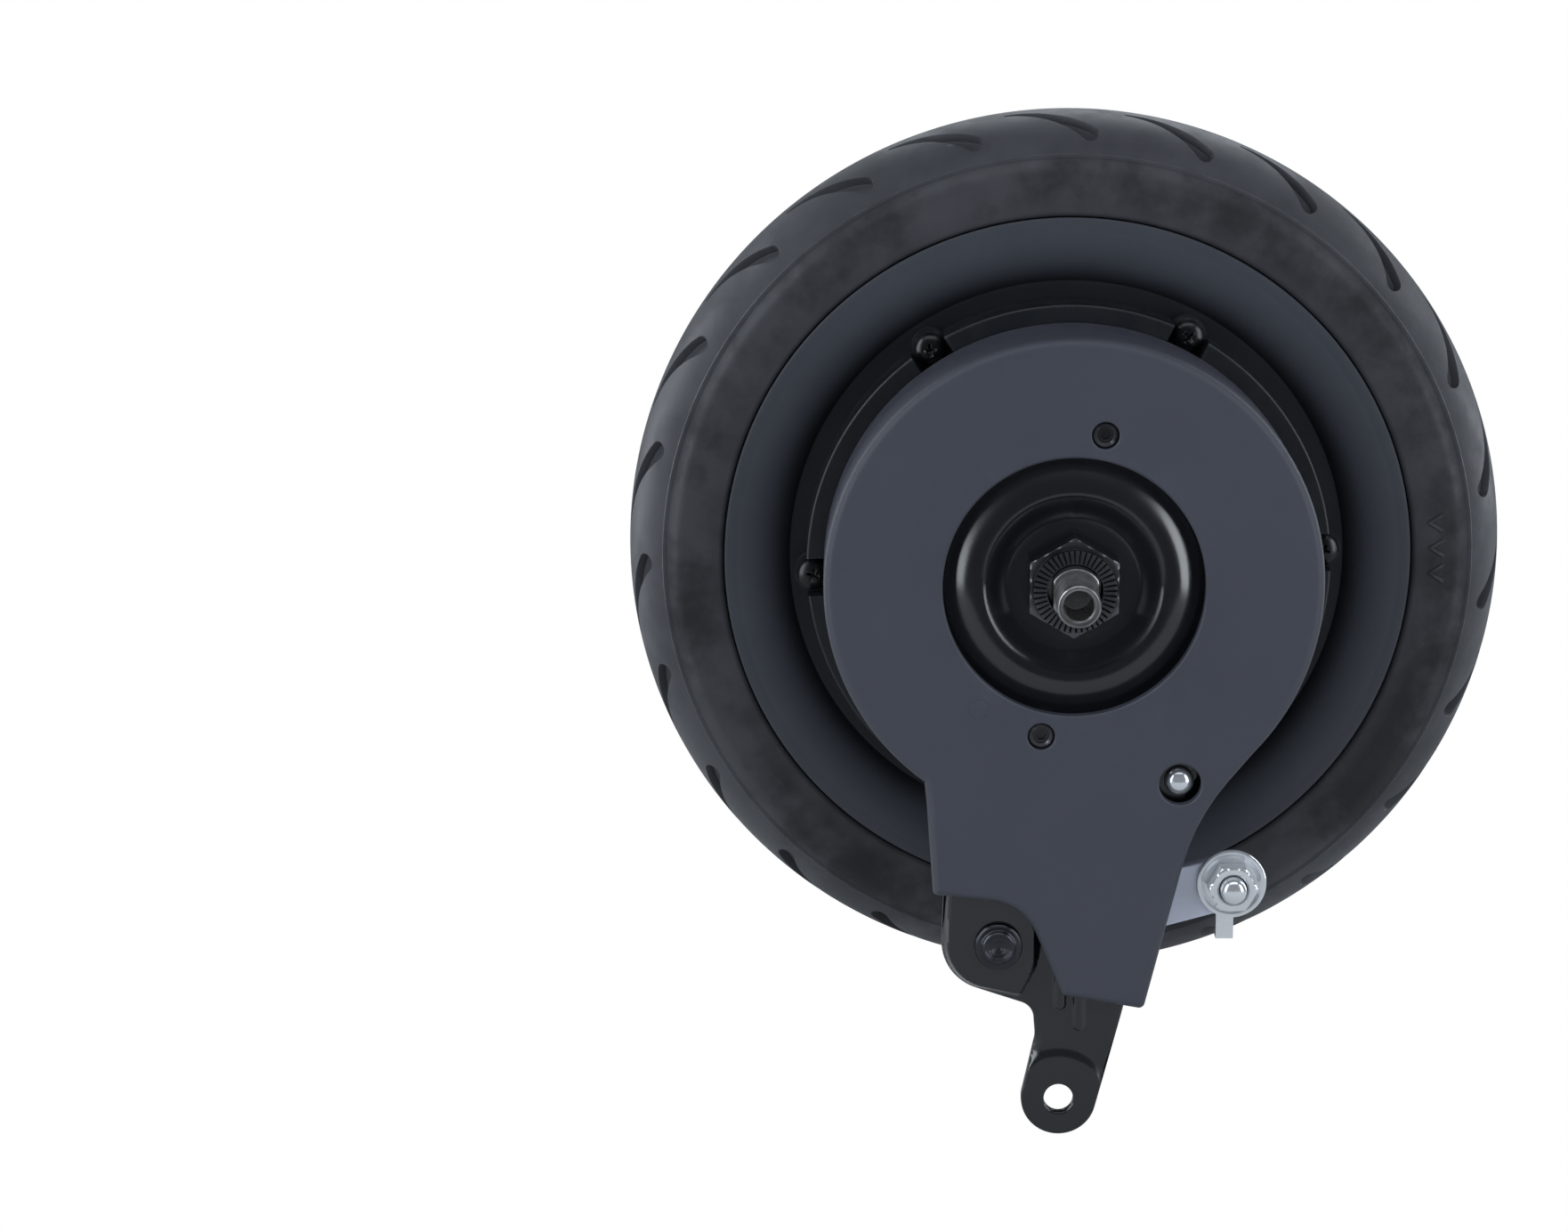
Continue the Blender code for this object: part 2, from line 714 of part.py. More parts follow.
def make_motor_side_cover():
    """Plain domed cover on the far side, stepped up to its bearing boss."""
    seat = rim_seat + fit
    bearing_seat = bearing_outer_radius + fit
    hub = bearing_seat + hub_wall
    lip = bearing_offset + bearing_width + fit
    front = lip + 0.0030
    spigot = rim_bore_radius - fit
    top = far_flange_front
    profile = [
        (far_flange_radius, seat), (far_flange_radius, top - 0.0007), (far_flange_radius - 0.0007, top),
        (cover_ring_inner + 0.0012, top), (hub + 0.0130, top + 0.0040), (hub + 0.0020, top + 0.0052), (hub, front),
        (seal_radius, front), (seal_radius, lip), (bearing_seat, lip), (bearing_seat, bearing_offset - 0.0002),
        (hub, bearing_offset - 0.0002), (hub, top - 0.0008),
        (spigot - 0.0022, top - 0.0020), (spigot - 0.0022, rim_seat - 0.0013), (spigot, rim_seat - 0.0013),
        (spigot, seat),
    ]
    cover = place("motor_side_cover", spun(profile, large_steps))
    holes = bmesh.new()
    for angle in around(screw_count, screw_phase):
        disc(screw_radius + fit, 0.010, 0.030, polar(screw_circle, angle), 8, holes)
    cut(cover, holes)
    return paint(cover, (0.040, 0.042, 0.048), 0.5, 0.5)


def screw_shape(head_radius, head_height, radius, length, steps=8):
    """A pan head screw along -Y, with the underside of its head at y = 0."""
    return spun([
        (0.0, -head_height), (head_radius * 0.75, -head_height * 0.92), (head_radius, -head_height * 0.4),
        (head_radius, 0.0), (radius, 0.0), (radius, length), (0.0, length),
    ], steps, closed=False)


def make_screws():
    black = ((0.012, 0.012, 0.014), 0.35, 0.7)
    sides = (("brake", -1, screw_seat + fit), ("motor", 1, far_flange_front + fit))
    for label, side, seat in sides:
        first = None
        length = screw_length if side < 0 else screw_length - (screw_seat - far_flange_front)
        for i, angle in enumerate(around(screw_count, screw_phase)):
            x, z = polar(screw_circle, angle)
            flip = Matrix.Identity(4) if side < 0 else Matrix.Rotation(pi, 4, "Z")
            matrix = Matrix.Translation((x, side * seat, z)) @ flip
            name = f"{label}_cover_screw_{i + 1}"
            if first is None:
                first = place(name, screw_shape(screw_head_radius, screw_head_height, screw_radius, length))
                paint(first, *black)
                first.matrix_world = matrix
            else:
                link(name, first, matrix)


# ---------------------------------------------------------------- brake drum, lining and band
def make_drum():
    """A cup whose outer wall the band grips, screwed to the rotating cover's web."""
    inner = drum_radius - drum_wall
    hub_clearance = bearing_outer_radius + fit + hub_wall + 0.0022
    back = web_front + fit
    floor = back + drum_wall - 0.0005
    profile = [
        (drum_radius, -back), (drum_radius, -drum_front),
        (inner, -drum_front), (inner, -floor), (hub_clearance, -floor), (hub_clearance, -back),
    ]
    drum = place("brake_drum", spun(profile, round_steps))
    holes = bmesh.new()
    for angle in around(drum_screw_count, 45.0):
        disc(screw_radius + fit, -0.030, -0.010, polar(drum_screw_circle, angle), 8, holes)
    cut(drum, holes)
    first = None
    for i, angle in enumerate(around(drum_screw_count, 45.0)):
        x, z = polar(drum_screw_circle, angle)
        matrix = Matrix.Translation((x, -floor - fit, z))
        if first is None:
            length = floor - (web_front - web_thickness)
            first = place("drum_screw_1", screw_shape(screw_head_radius, 0.0022, screw_radius, length))
            paint(first, (0.30, 0.30, 0.31), 0.35, 1.0)
            first.matrix_world = matrix
        else:
            link(f"drum_screw_{i + 1}", first, matrix)
    return paint(drum, (0.33, 0.32, 0.31), 0.35, 1.0)


def band_radius():
    """Middle radius of the steel band, outside the lining."""
    return drum_radius + lining_clearance + lining_thickness + fit + band_thickness / 2


def band_end():
    """The band's moving end: a pin on the lever's centre line."""
    run = Vector(bolt_place) - Vector(pivot_place)
    return tuple(Vector(pivot_place) + run.normalized() * band_pin_arm)


def tangent_angle(place_xz, eye, turn):
    """Angle at which a strip from an eye of radius `eye` meets the band's circle."""
    distance = hypot(*place_xz)
    return degrees(atan2(place_xz[1], place_xz[0])) + turn * degrees(acos((band_radius() - eye) / distance))


def make_band():
    """One steel strip: an eye at the anchor, round the drum, and an eye at the lever's pin."""
    middle = band_radius()
    half = band_thickness / 2
    eye_inner = band_pin_radius + fit
    eye = eye_inner + band_eye_wall / 2
    front, back = -band_front, -band_front + band_width
    start = tangent_angle(anchor_place, eye, 1)
    end = tangent_angle(band_end(), eye, -1) + 360.0
    run = []
    for reach in (half, -half):
        ends = []
        for spot, angle in ((anchor_place, start), (band_end(), end)):
            dx, dz = polar(eye + reach, angle)
            ends.append((spot[0] + dx, spot[1] + dz))
        run.append([ends[0]] + arc((0, 0), middle + reach, start, end, 12.0) + [ends[1]])
    band = place("brake_band", slab(run[0] + run[1][::-1], front, back))
    eyes = bmesh.new()
    for spot in (anchor_place, band_end()):
        disc(eye + band_eye_wall / 2, front, back, spot, 14, eyes)
    join(band, eyes)
    bores = bmesh.new()
    for spot in (anchor_place, band_end()):
        disc(eye_inner, front - 0.001, back + 0.001, spot, 14, bores)
    cut(band, bores)
    return paint(band, (0.40, 0.40, 0.41), 0.3, 1.0)


def make_lining():
    inner = drum_radius + lining_clearance
    outer = inner + lining_thickness
    start = tangent_angle(anchor_place, 0.0, 1) + 8.0
    end = tangent_angle(band_end(), 0.0, -1) + 352.0
    outline = arc((0, 0), outer, start, end, 12.0) + arc((0, 0), inner, end, start, 12.0)
    lining = place("band_lining", slab(outline, -band_front + 0.0005, -band_front + band_width - 0.0005))
    return paint(lining, (0.14, 0.11, 0.08), 0.85)


def make_anchor_pin():
    """Fixed end of the band: a shouldered pin whose domed rivet head shows in the cover."""
    x, z = anchor_place
    seat = plate_front + fit
    dome = anchor_dome_radius * 0.75
    back = band_front - band_width - 0.0008
    profile = [
        (0.0, -seat - dome), (anchor_dome_radius * 0.45, -seat - dome * 0.90),
        (anchor_dome_radius * 0.80, -seat - dome * 0.58), (anchor_dome_radius, -seat),
        (band_pin_radius, -seat), (band_pin_radius, -back), (0.0, -back),
    ]
    pin = place("band_anchor_pin", spun(profile, 14, closed=False))
    pin.location = (x, 0.0, z)
    return paint(pin, (0.62, 0.63, 0.65), 0.25, 1.0)


# ---------------------------------------------------------------- brake plate and reaction arm
def plate_outline():
    """Disc, neck, lobe and arm as one clockwise outline seen from the brake side."""
    px, pz = pivot_place
    right_exit = -44.0
    left_exit = 232.0
    neck_right = [(0.0262, -0.0530, 0.012), (0.0170, -0.0820, 0.030), (0.0129, -0.1008, 0.0)]
    eye_end = arc(eye_place, eye_radius, -14.0, -197.5, 20.0)
    shank_left = [(-0.0073, -0.1070, 0.006), (-0.0079, -0.1000, 0.004)]
    lobe = arc((px - 0.0013, pz), lobe_radius, -107.0, -180.0, 18.0)
    neck_left = [(-0.0284, -0.0520, 0.004)]
    top = arc((0, 0), plate_radius, left_exit, right_exit, 14.0)
    corners = neck_right + sharp(eye_end) + shank_left + sharp(lobe) + neck_left + sharp(top)
    return rounded(corners)


def dish_profile():
    """Drawn steel dish: raised ring crest with a recessed floor for the axle nut."""
    base = plate_front - fit
    crest = plate_front + dish_crest_height
    floor_edge = dish_floor_radius
    crest_radius = dish_crest_radius
    foot = dish_rim_radius - 0.0035
    front = [
        (axle_radius + fit, dish_floor), (floor_edge, dish_floor), (floor_edge + 0.0022, dish_floor + 0.0012),
        (crest_radius - 0.0024, crest - 0.0005), (crest_radius, crest), (crest_radius + 0.0030, crest - 0.0008),
        (foot, base), (dish_rim_radius, base),
    ]
    thin = plate_thickness - 2 * fit
    back = [
        (dish_rim_radius, base - thin), (foot - 0.0002, base - thin), (crest_radius, crest - plate_thickness),
        (crest_radius - 0.0030, crest - plate_thickness - 0.0008),
        (floor_edge + 0.0006, dish_floor - plate_thickness), (axle_radius + fit, dish_floor - plate_thickness),
    ]
    return [(radius, -y) for radius, y in front + back]


def make_plate():
    """Pressed steel plate: the dish on the axle, the pivot lobe and the reaction arm."""
    front, back = -plate_front, -plate_front + plate_thickness
    plate = place("brake_plate", slab(plate_outline(), front, back))
    low, high = eye_place[1] + eye_pad_radius * 0.7, skirt_end - 0.0050
    shank = arc(eye_place, eye_pad_radius, 150.0, 30.0, 12.0) + [(0.030, low), (0.030, high), (-0.010, high), (-0.012, low)]
    cut(plate, slab(shank, front - 0.001, front + shank_drop))
    cut(plate, disc(dish_rim_radius - 0.0018, front - 0.001, back + 0.001, steps=26))
    join(plate, spun(dish_profile(), 26))
    px, pz = pivot_place
    top = skirt_end - 0.0025
    lobe = [
        (px - 0.0122, top, 0.002), (px + 0.0090, top, 0.003), (px + 0.0094, pz - 0.0050, 0.012),
        (px + 0.0055, pz - 0.0130, 0.002),
    ] + sharp(arc((px - 0.0013, pz), lobe_radius - 0.0004, -107.0, -180.0, 18.0))
    stations = ((front + 0.0006, 0.0), (front - lobe_rise + 0.0007, 0.0004), (front - lobe_rise, 0.0012))
    join(plate, loft(stacked(lobe, stations)))
    ribs = bmesh.new()
    for x, low, high in ((0.0027, -0.1060, -0.0700), (-0.0017, -0.1010, -0.0700)):
        bead = [(x - 0.0017, high, 0.0), (x + 0.0017, high, 0.0), (x + 0.0017, low, 0.0016), (x - 0.0017, low, 0.0016)]
        loft(stacked(bead, ((front + 0.0006, 0.0), (front - 0.0004, 0.0002), (front - 0.0009, 0.0008))), ribs)
    join(plate, ribs)
    holes = bmesh.new()
    disc(eye_hole_radius, front - 0.002, back + 0.002, eye_place, 16, holes)
    disc(pivot_pin_radius + fit, front - 0.004, back + 0.002, pivot_place, 14, holes)
    disc(band_pin_radius + fit, front - 0.002, back + 0.002, anchor_place, 12, holes)
    for spot in cover_screws:
        disc(cover_screw_radius + fit, front - 0.002, back + 0.002, spot, 8, holes)
    cut(plate, holes)
    return paint(plate, (0.010, 0.010, 0.011), 0.22, 0.5)


# ---------------------------------------------------------------- lever and pinch bolt
def lever_outline():
    """Two round ends joined by their common tangents, clockwise."""
    start, end = Vector(pivot_place), Vector(bolt_place)
    run = end - start
    heading = degrees(atan2(run.y, run.x))
    lean = degrees(asin((lever_pivot_radius - lever_bolt_radius) / run.length))
    side = 90.0 - lean
    head = arc(end, lever_bolt_radius, heading + side, heading - side, 18.0)
    tail = arc(start, lever_pivot_radius, heading - side, heading - 360.0 + side, 18.0)
    return head + tail


def make_lever():
    front, back = -lever_front, -lever_front + lever_thickness
    px, pz = pivot_place
    bevel = 0.0004
    stations = ((front, bevel), (front + bevel, 0.0), (back - bevel, 0.0), (back, bevel))
    bm = loft(stacked(sharp(lever_outline()), stations))
    lever = place("brake_lever", bm, (px, 0.0, pz))
    holes = bmesh.new()
    disc(pivot_pin_radius + fit, front - 0.002, back + 0.002, pivot_place, 14, holes)
    disc(band_pin_radius + fit, front - 0.002, back + 0.002, band_end(), 12, holes)
    disc(bolt_radius + fit, front - 0.002, back + 0.002, bolt_place, 12, holes)
    cut(lever, holes)
    return paint(lever, (0.60, 0.62, 0.66), 0.32, 1.0)


def make_pivot_pin():
    """Headed pin through the lobe and the lever, with a stepped turned head."""
    x, z = pivot_place
    seat = plate_front + lobe_rise + fit
    end = lever_front - lever_thickness - 0.0026
    groove = lever_front - lever_thickness - fit
    profile = [
        (0.0, -seat - 0.0017), (0.0037, -seat - 0.0020), (0.0041, -seat - 0.0012),
        (pivot_collar_radius - 0.0004, -seat - 0.0012), (pivot_collar_radius, -seat - 0.0008),
        (pivot_collar_radius, -seat), (pivot_pin_radius, -seat), (pivot_pin_radius, -groove),
        (pivot_pin_radius - 0.0008, -groove), (pivot_pin_radius - 0.0008, -groove + 0.0012),
        (pivot_pin_radius, -groove + 0.0012), (pivot_pin_radius, -end), (0.0, -end),
    ]
    pin = place("lever_pivot_pin", spun(profile, 14, closed=False))
    pin.location = (x, 0.0, z)
    paint(pin, (0.012, 0.012, 0.013), 0.3, 0.8)
    inner = pivot_pin_radius - 0.0008 + fit
    clip = slab(
        arc((0, 0), pivot_pin_radius + 0.0024, 125.0, -215.0 + 70.0, 15.0) + arc((0, 0), inner, -145.0, 125.0, 15.0),
        -groove + 0.0002, -groove + 0.0010)
    clip_thing = place("pivot_clip", clip)
    clip_thing.location = (x, 0.0, z)
    paint(clip_thing, (0.30, 0.30, 0.31), 0.35, 1.0)
    return pin


def make_band_pin():
    """Flush pin in the lever that pulls the band's moving eye."""
    x, z = band_end()
    back = band_front - band_width
    profile = [
        (0.0, -lever_front + 0.0002), (band_pin_radius, -lever_front + 0.0002), (band_pin_radius, -back + 0.0004),
        (band_pin_radius + 0.0014, -back + 0.0004), (band_pin_radius + 0.0014, -back + 0.0014), (0.0, -back + 0.0014),
    ]
    pin = place("band_pull_pin", spun(profile, 12, closed=False))
    pin.location = (x, 0.0, z)
    return paint(pin, (0.45, 0.45, 0.46), 0.3, 1.0)


def make_pinch_set():
    """Cable clamp: bolt from behind with its cable hole, tab washer and hex nut in front."""
    x, z = bolt_place
    behind = lever_front - lever_thickness - fit
    bolt = place("pinch_bolt", slab(hexagon(pinch_flats, 12.0), -behind, -behind + bolt_head_height))
    shank = spun([
        (0.0, -behind + 0.001), (bolt_radius, -behind + 0.001), (bolt_radius, -bolt_end + 0.0008),
        (bolt_radius - 0.0008, -bolt_end), (0.0, -bolt_end),
    ], 12, closed=False)
    join(bolt, shank)
    hole = bmesh.new()
    centre = (0.0, -behind + bolt_head_height / 2, 0.0)
    bmesh.ops.create_cone(hole, cap_ends=True, segments=10, radius1=0.0011, radius2=0.0011, depth=0.02,
                          matrix=Matrix.Translation(centre))
    bore = cut(bolt, hole)
    bolt.location = (x, 0.0, z)
    for guide in [step.object for step in bolt.modifiers]:
        guide.location = bolt.location
    bore.location = bolt.location
    paint(bolt, (0.62, 0.63, 0.66), 0.28, 1.0)

    washer_back = lever_front + fit
    washer_front = washer_back + washer_thickness
    washer = place("tab_washer", spun([
        (bolt_radius + fit, -washer_back), (washer_radius, -washer_back), (washer_radius, -washer_front + 0.0003),
        (washer_radius - 0.0003, -washer_front), (washer_radius - 0.0016, -washer_front),
        (washer_radius - 0.0024, -washer_front + 0.0003), (bolt_radius + fit, -washer_front + 0.0003),
    ], 20))
    washer.location = (x, 0.0, z)
    half = tab_width / 2
    tab = box((-half - 0.0014, -washer_front + 0.0002, -tab_reach), (half - 0.0014, -washer_back - 0.0002, -0.0050))
    bend = box((-half - 0.0014, -washer_back - 0.0003, -tab_reach), (half - 0.0014, -washer_back + 0.0040, -tab_reach + 0.0010))
    for piece in (tab, bend):
        join(washer, piece).location = washer.location
    paint(washer, (0.62, 0.63, 0.66), 0.30, 1.0)

    nut_back = washer_front - 0.0003 + fit
    nut_front = nut_back + pinch_nut_height
    nut = place("pinch_nut", slab(hexagon(pinch_flats, 0.0), -nut_back, -nut_front))
    corner = pinch_flats / sqrt(3.0)
    chamfer = spun([
        (0.0, -nut_back + 0.001), (corner + 0.0002, -nut_back + 0.001), (corner + 0.0002, -nut_front + 0.0009),
        (pinch_flats / 2 - 0.0002, -nut_front - 0.0003), (0.0, -nut_front - 0.0003),
    ], 18, closed=False)
    combine(nut, chamfer, "INTERSECT")
    cut(nut, disc(bolt_radius + fit, -nut_back + 0.002, -nut_front - 0.002, steps=12))
    nut.location = (x, 0.0, z)
    for guide in [step.object for step in nut.modifiers]:
        guide.location = nut.location
    paint(nut, (0.62, 0.63, 0.66), 0.28, 1.0)


# ---------------------------------------------------------------- plastic brake cover
def cover_corners():
    """Round cover with its tail over the arm and a hollow round the pivot, clockwise."""
    right_exit = -43.0
    left_meet = -126.2
    tail = [
        (0.0285, -0.0540, 0.050),
        (0.0174, -0.0993, 0.0014),
        (-0.0012, -0.0962, 0.0014),
        (-0.0105, -0.0745, 0.0130),
        (-0.0312, -0.0722, 0.0012),
        (-0.0327, -0.0520, 0.0),
    ]
    disc_arc = arc((0, 0), brake_cover_radius, left_meet + 360.0, right_exit, 8.0)
    return sharp(disc_arc) + tail


def make_brake_cover():
    """Moulded shell: rounded face, deep skirt that stops above the lever, bosses and holes."""
    corners = cover_corners()
    front, back = -brake_cover_front, -brake_cover_back
    rim_fillet = brake_cover_fillet
    stations = [(front, rim_fillet)]
    for angle in (45.0, 90.0):
        drop = rim_fillet * (1 - cos(radians(angle)))
        stations.append((front + drop, rim_fillet * (1 - sin(radians(angle)))))
    stations.append((back, 0.0))
    shell = place("brake_cover", loft(stacked(corners, stations, 12.0)))
    inner_face = front + brake_cover_face
    hollow = rounded(inset(corners, brake_cover_wall), 12.0)
    cut(shell, slab(hollow, inner_face, back + 0.002))
    cut(shell, box((-0.08, inner_face, -0.12), (0.08, back + 0.004, skirt_end)))
    bosses = bmesh.new()
    for spot in cover_screws:
        disc(cover_boss_radius, -plate_front - fit, inner_face - 0.0008, spot, 14, bosses)
    join(shell, bosses)
    holes = bmesh.new()
    disc(brake_cover_hole, front - 0.001, inner_face + 0.0003, steps=40, bm=holes)
    disc(dome_window_radius, front - 0.001, inner_face + 0.0003, anchor_place, 14, holes)
    for spot in cover_screws:
        disc(counterbore_radius, front - 0.001, front + counterbore_depth, spot, 12, holes)
    cut(shell, holes)
    shanks = bmesh.new()
    for spot in cover_screws:
        disc(cover_screw_radius + fit, front - 0.0005, -plate_front + 0.001, spot, 8, shanks)
    cut(shell, shanks)
    paint(shell, (0.058, 0.062, 0.078), 0.62)

    seat = brake_cover_front - counterbore_depth + fit
    for name, spot in zip(("cover_screw_upper", "cover_screw_lower"), cover_screws):
        length = seat - (plate_front - plate_thickness) - 0.0002
        screw = place(name, screw_shape(counterbore_radius - fit, 0.0014, cover_screw_radius, length))
        screw.location = (spot[0], -seat, spot[1])
        paint(screw, (0.012, 0.012, 0.014), 0.4, 0.6)
    return shell


# ---------------------------------------------------------------- the whole wheel
def carry(name, centre, starts):
    """Hangs every piece whose name starts so on an empty that sits on the group's axis."""
    axis = bpy.data.objects.new(name, None)
    axis.location = centre
    axis.empty_display_size = 0.02
    bpy.context.collection.objects.link(axis)
    for thing in list(bpy.data.objects):
        if thing.type == "MESH" and not thing.hide_render and thing.name.startswith(starts):
            thing.parent = axis
            thing.matrix_parent_inverse = Matrix.Translation(centre).inverted()


def build():
    clear_scene()
    make_tyre()
    make_rim()
    make_back_iron()
    make_magnets()
    make_stator_core()
    make_windings()
    make_stator_spider()
    make_sensor_board()
    make_axle()
    make_axle_nut("brake_side_nut", fork_seat_brake, -1)
    make_axle_nut("motor_side_nut", fork_seat_motor, 1)
    race_end = bearing_offset + bearing_width + fit
    make_sleeve("brake_side_sleeve", -(dish_floor - plate_thickness - fit), -race_end)
    make_sleeve("motor_side_sleeve", race_end, fork_seat_motor - nut_collar_height - nut_hex_height - fit)
    make_bearing("brake_bearing", -1)
    make_bearing("motor_bearing", 1)
    brake_lip = bearing_offset + bearing_width + fit
    make_seal("brake_side_seal", -brake_lip - 0.0016, -brake_lip)
    make_seal("motor_side_seal", brake_lip, brake_lip + 0.0028)
    make_brake_side_cover()
    make_motor_side_cover()
    make_screws()
    make_drum()
    make_band()
    make_lining()
    make_anchor_pin()
    make_plate()
    make_lever()
    make_pivot_pin()
    make_band_pin()
    make_pinch_set()
    make_brake_cover()
    wheel_pieces = (
        "tyre", "wheel_rim", "rotor_back_iron", "magnet_ring", "brake_bearing_outer_race", "brake_bearing_ball_ring",
        "motor_bearing_outer_race", "motor_bearing_ball_ring", "brake_side_seal", "motor_side_seal",
        "brake_side_cover", "motor_side_cover", "brake_cover_screw", "motor_cover_screw", "brake_drum", "drum_screw",
    )
    carry("wheel_axis", (0.0, 0.0, 0.0), wheel_pieces)
    pivot_middle = -lever_front + lever_thickness / 2
    lever_pieces = ("brake_lever", "band_pull_pin", "pinch_bolt", "tab_washer", "pinch_nut")
    carry("lever_axis", (pivot_place[0], pivot_middle, pivot_place[1]), lever_pieces)


build()
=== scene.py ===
import json
from math import asin, atan2, cos, degrees, pi, radians, sin, sqrt, tan

import bmesh
import bpy
import numpy as np
from mathutils import Matrix, Vector
from mathutils.geometry import delaunay_2d_cdt


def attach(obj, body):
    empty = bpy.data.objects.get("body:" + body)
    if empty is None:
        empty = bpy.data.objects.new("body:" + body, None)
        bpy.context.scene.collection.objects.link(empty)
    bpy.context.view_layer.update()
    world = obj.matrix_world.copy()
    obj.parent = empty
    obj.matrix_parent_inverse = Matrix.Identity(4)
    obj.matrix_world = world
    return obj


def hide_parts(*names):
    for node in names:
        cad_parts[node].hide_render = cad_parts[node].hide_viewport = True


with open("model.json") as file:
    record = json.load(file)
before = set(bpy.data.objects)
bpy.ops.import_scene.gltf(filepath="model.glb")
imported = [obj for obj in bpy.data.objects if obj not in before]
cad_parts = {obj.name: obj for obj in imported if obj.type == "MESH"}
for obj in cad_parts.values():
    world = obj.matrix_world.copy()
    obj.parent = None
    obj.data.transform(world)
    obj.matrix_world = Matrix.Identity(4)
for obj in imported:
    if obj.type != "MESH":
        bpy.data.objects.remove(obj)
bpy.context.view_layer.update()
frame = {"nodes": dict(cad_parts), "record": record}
nodes = frame["nodes"]
print("stage: frame loaded,", len(nodes), "nodes")


# small geometry helpers; lengths here are in millimetres, angles in degrees
def polar(radius, angle):
    return radius * cos(radians(angle)), radius * sin(radians(angle))


def ringAngles(count, phase=0.0):
    return [phase + 360.0 * i / count for i in range(count)]


def circle(centre, radius, steps):
    return [(centre[0] + x, centre[1] + z) for x, z in (polar(radius, a) for a in ringAngles(steps))]


def arcPoints(centre, radius, start, end, step=3.0):
    count = max(2, round(abs(end - start) / step) + 1)
    spots = [polar(radius, a) for a in np.linspace(start, end, count)]
    return [(centre[0] + x, centre[1] + z) for x, z in spots]


def rounded(corners, step=6.0):  # corners are (x, z, fillet radius) round a closed outline
    points = []
    for i, (x, z, radius) in enumerate(corners):
        if radius <= 0.0:
            points.append((x, z))
            continue
        here = Vector((x, z))
        before = (Vector(corners[i - 1][:2]) - here).normalized()
        after = (Vector(corners[(i + 1) % len(corners)][:2]) - here).normalized()
        half = before.angle(after) / 2
        centre = here + (before + after).normalized() * (radius / sin(half))
        start = here + before * (radius / tan(half)) - centre
        end = here + after * (radius / tan(half)) - centre
        first = degrees(atan2(start.y, start.x))
        turn = (degrees(atan2(end.y, end.x)) - first + 180.0) % 360.0 - 180.0
        points += arcPoints(centre, radius, first, first + turn, step)
    return points


def inset(corners, distance):  # a clockwise outline's corners, each side moved inwards
    moved = []
    points = [Vector(corner[:2]) for corner in corners]
    for i, here in enumerate(points):
        before = (here - points[i - 1]).normalized()
        after = (points[(i + 1) % len(points)] - here).normalized()
        tangent = (before + after).normalized()
        spot = here + Vector((tangent.y, -tangent.x)) * (distance / max(0.5, tangent.dot(after)))
        radius = corners[i][2]
        if radius > 0.0:
            radius = max(0.3, radius + (distance if before.cross(after) > 0.0 else -distance))
        moved.append((spot.x, spot.y, radius))
    return moved


def sharp(outline):
    return [(x, z, 0.0) for x, z in outline]


def newObject(name, data):
    thing = bpy.data.objects.new(name, data)
    bpy.context.scene.collection.objects.link(thing)
    return thing


def toObject(name, bm):  # millimetres become metres here
    bmesh.ops.remove_doubles(bm, verts=bm.verts, dist=1e-4)
    bmesh.ops.recalc_face_normals(bm, faces=bm.faces)
    bmesh.ops.scale(bm, verts=bm.verts, vec=(0.001,) * 3)
    mesh = bpy.data.meshes.new(name)
    bm.to_mesh(mesh)
    bm.free()
    return newObject(name, mesh)


def asObject(shape):
    return toObject("tool", shape) if isinstance(shape, bmesh.types.BMesh) else shape


def bakeMesh(thing):
    bpy.context.view_layer.update()
    graph = bpy.context.evaluated_depsgraph_get()
    mesh = bpy.data.meshes.new_from_object(thing.evaluated_get(graph))
    thing.modifiers.clear()
    spare = thing.data
    thing.data = mesh
    bpy.data.meshes.remove(spare)
    return thing


def loft(outlines):  # joins equal closed outlines of 3-D points and caps both ends
    bm = bmesh.new()
    loops = [[bm.verts.new(point) for point in outline] for outline in outlines]
    for lower, upper in zip(loops, loops[1:]):
        for i in range(len(lower)):
            j = (i + 1) % len(lower)
            bm.faces.new((lower[i], lower[j], upper[j], upper[i]))
    bm.faces.new(loops[0])
    bm.faces.new(list(reversed(loops[-1])))
    return bm


def stack(rows):  # a loft through flat outlines, each at its own y
    return loft([[(x, y, z) for x, z in outline] for y, outline in rows])


def prism(outline, front, back):
    return stack(((front, outline), (back, outline)))


def steppedBar(rows, centre=(0.0, 0.0), steps=48):  # rows are (y, radius)
    return stack([(y, circle(centre, radius, steps)) for y, radius in rows])


def bar(radius, front, back, centre=(0.0, 0.0), steps=48):
    return steppedBar(((front, radius), (back, radius)), centre, steps)


def crossBar(radius, reach, steps, y, z):  # a bar that lies along Z
    bm = bar(radius, -reach, reach, steps=steps)
    bmesh.ops.rotate(bm, verts=bm.verts, matrix=Matrix.Rotation(pi / 2, 3, "X"))
    bmesh.ops.translate(bm, verts=bm.verts, vec=(0.0, y, z))
    return bm


def block(low, high):
    middle = [(a + b) / 2 for a, b in zip(low, high)]
    size = Matrix.Diagonal([b - a for a, b in zip(low, high)] + [1.0])
    bm = bmesh.new()
    bmesh.ops.create_cube(bm, size=1.0, matrix=Matrix.Translation(middle) @ size)
    return bm


def combine(thing, tool, operation="DIFFERENCE"):
    tool = asObject(tool)
    step = thing.modifiers.new("combine", "BOOLEAN")
    step.operation = operation
    step.solver = "EXACT"
    step.object = tool
    bakeMesh(thing)
    bpy.data.objects.remove(tool, do_unlink=True)
    return thing


def smoothShade(thing, angle=30.0, weighted=True):
    thing.data.shade_smooth()
    thing.data.set_sharp_from_angle(angle=radians(angle))
    if weighted:
        thing.modifiers.new("faceWeights", "WEIGHTED_NORMAL").keep_sharp = True
        bakeMesh(thing)
    return thing


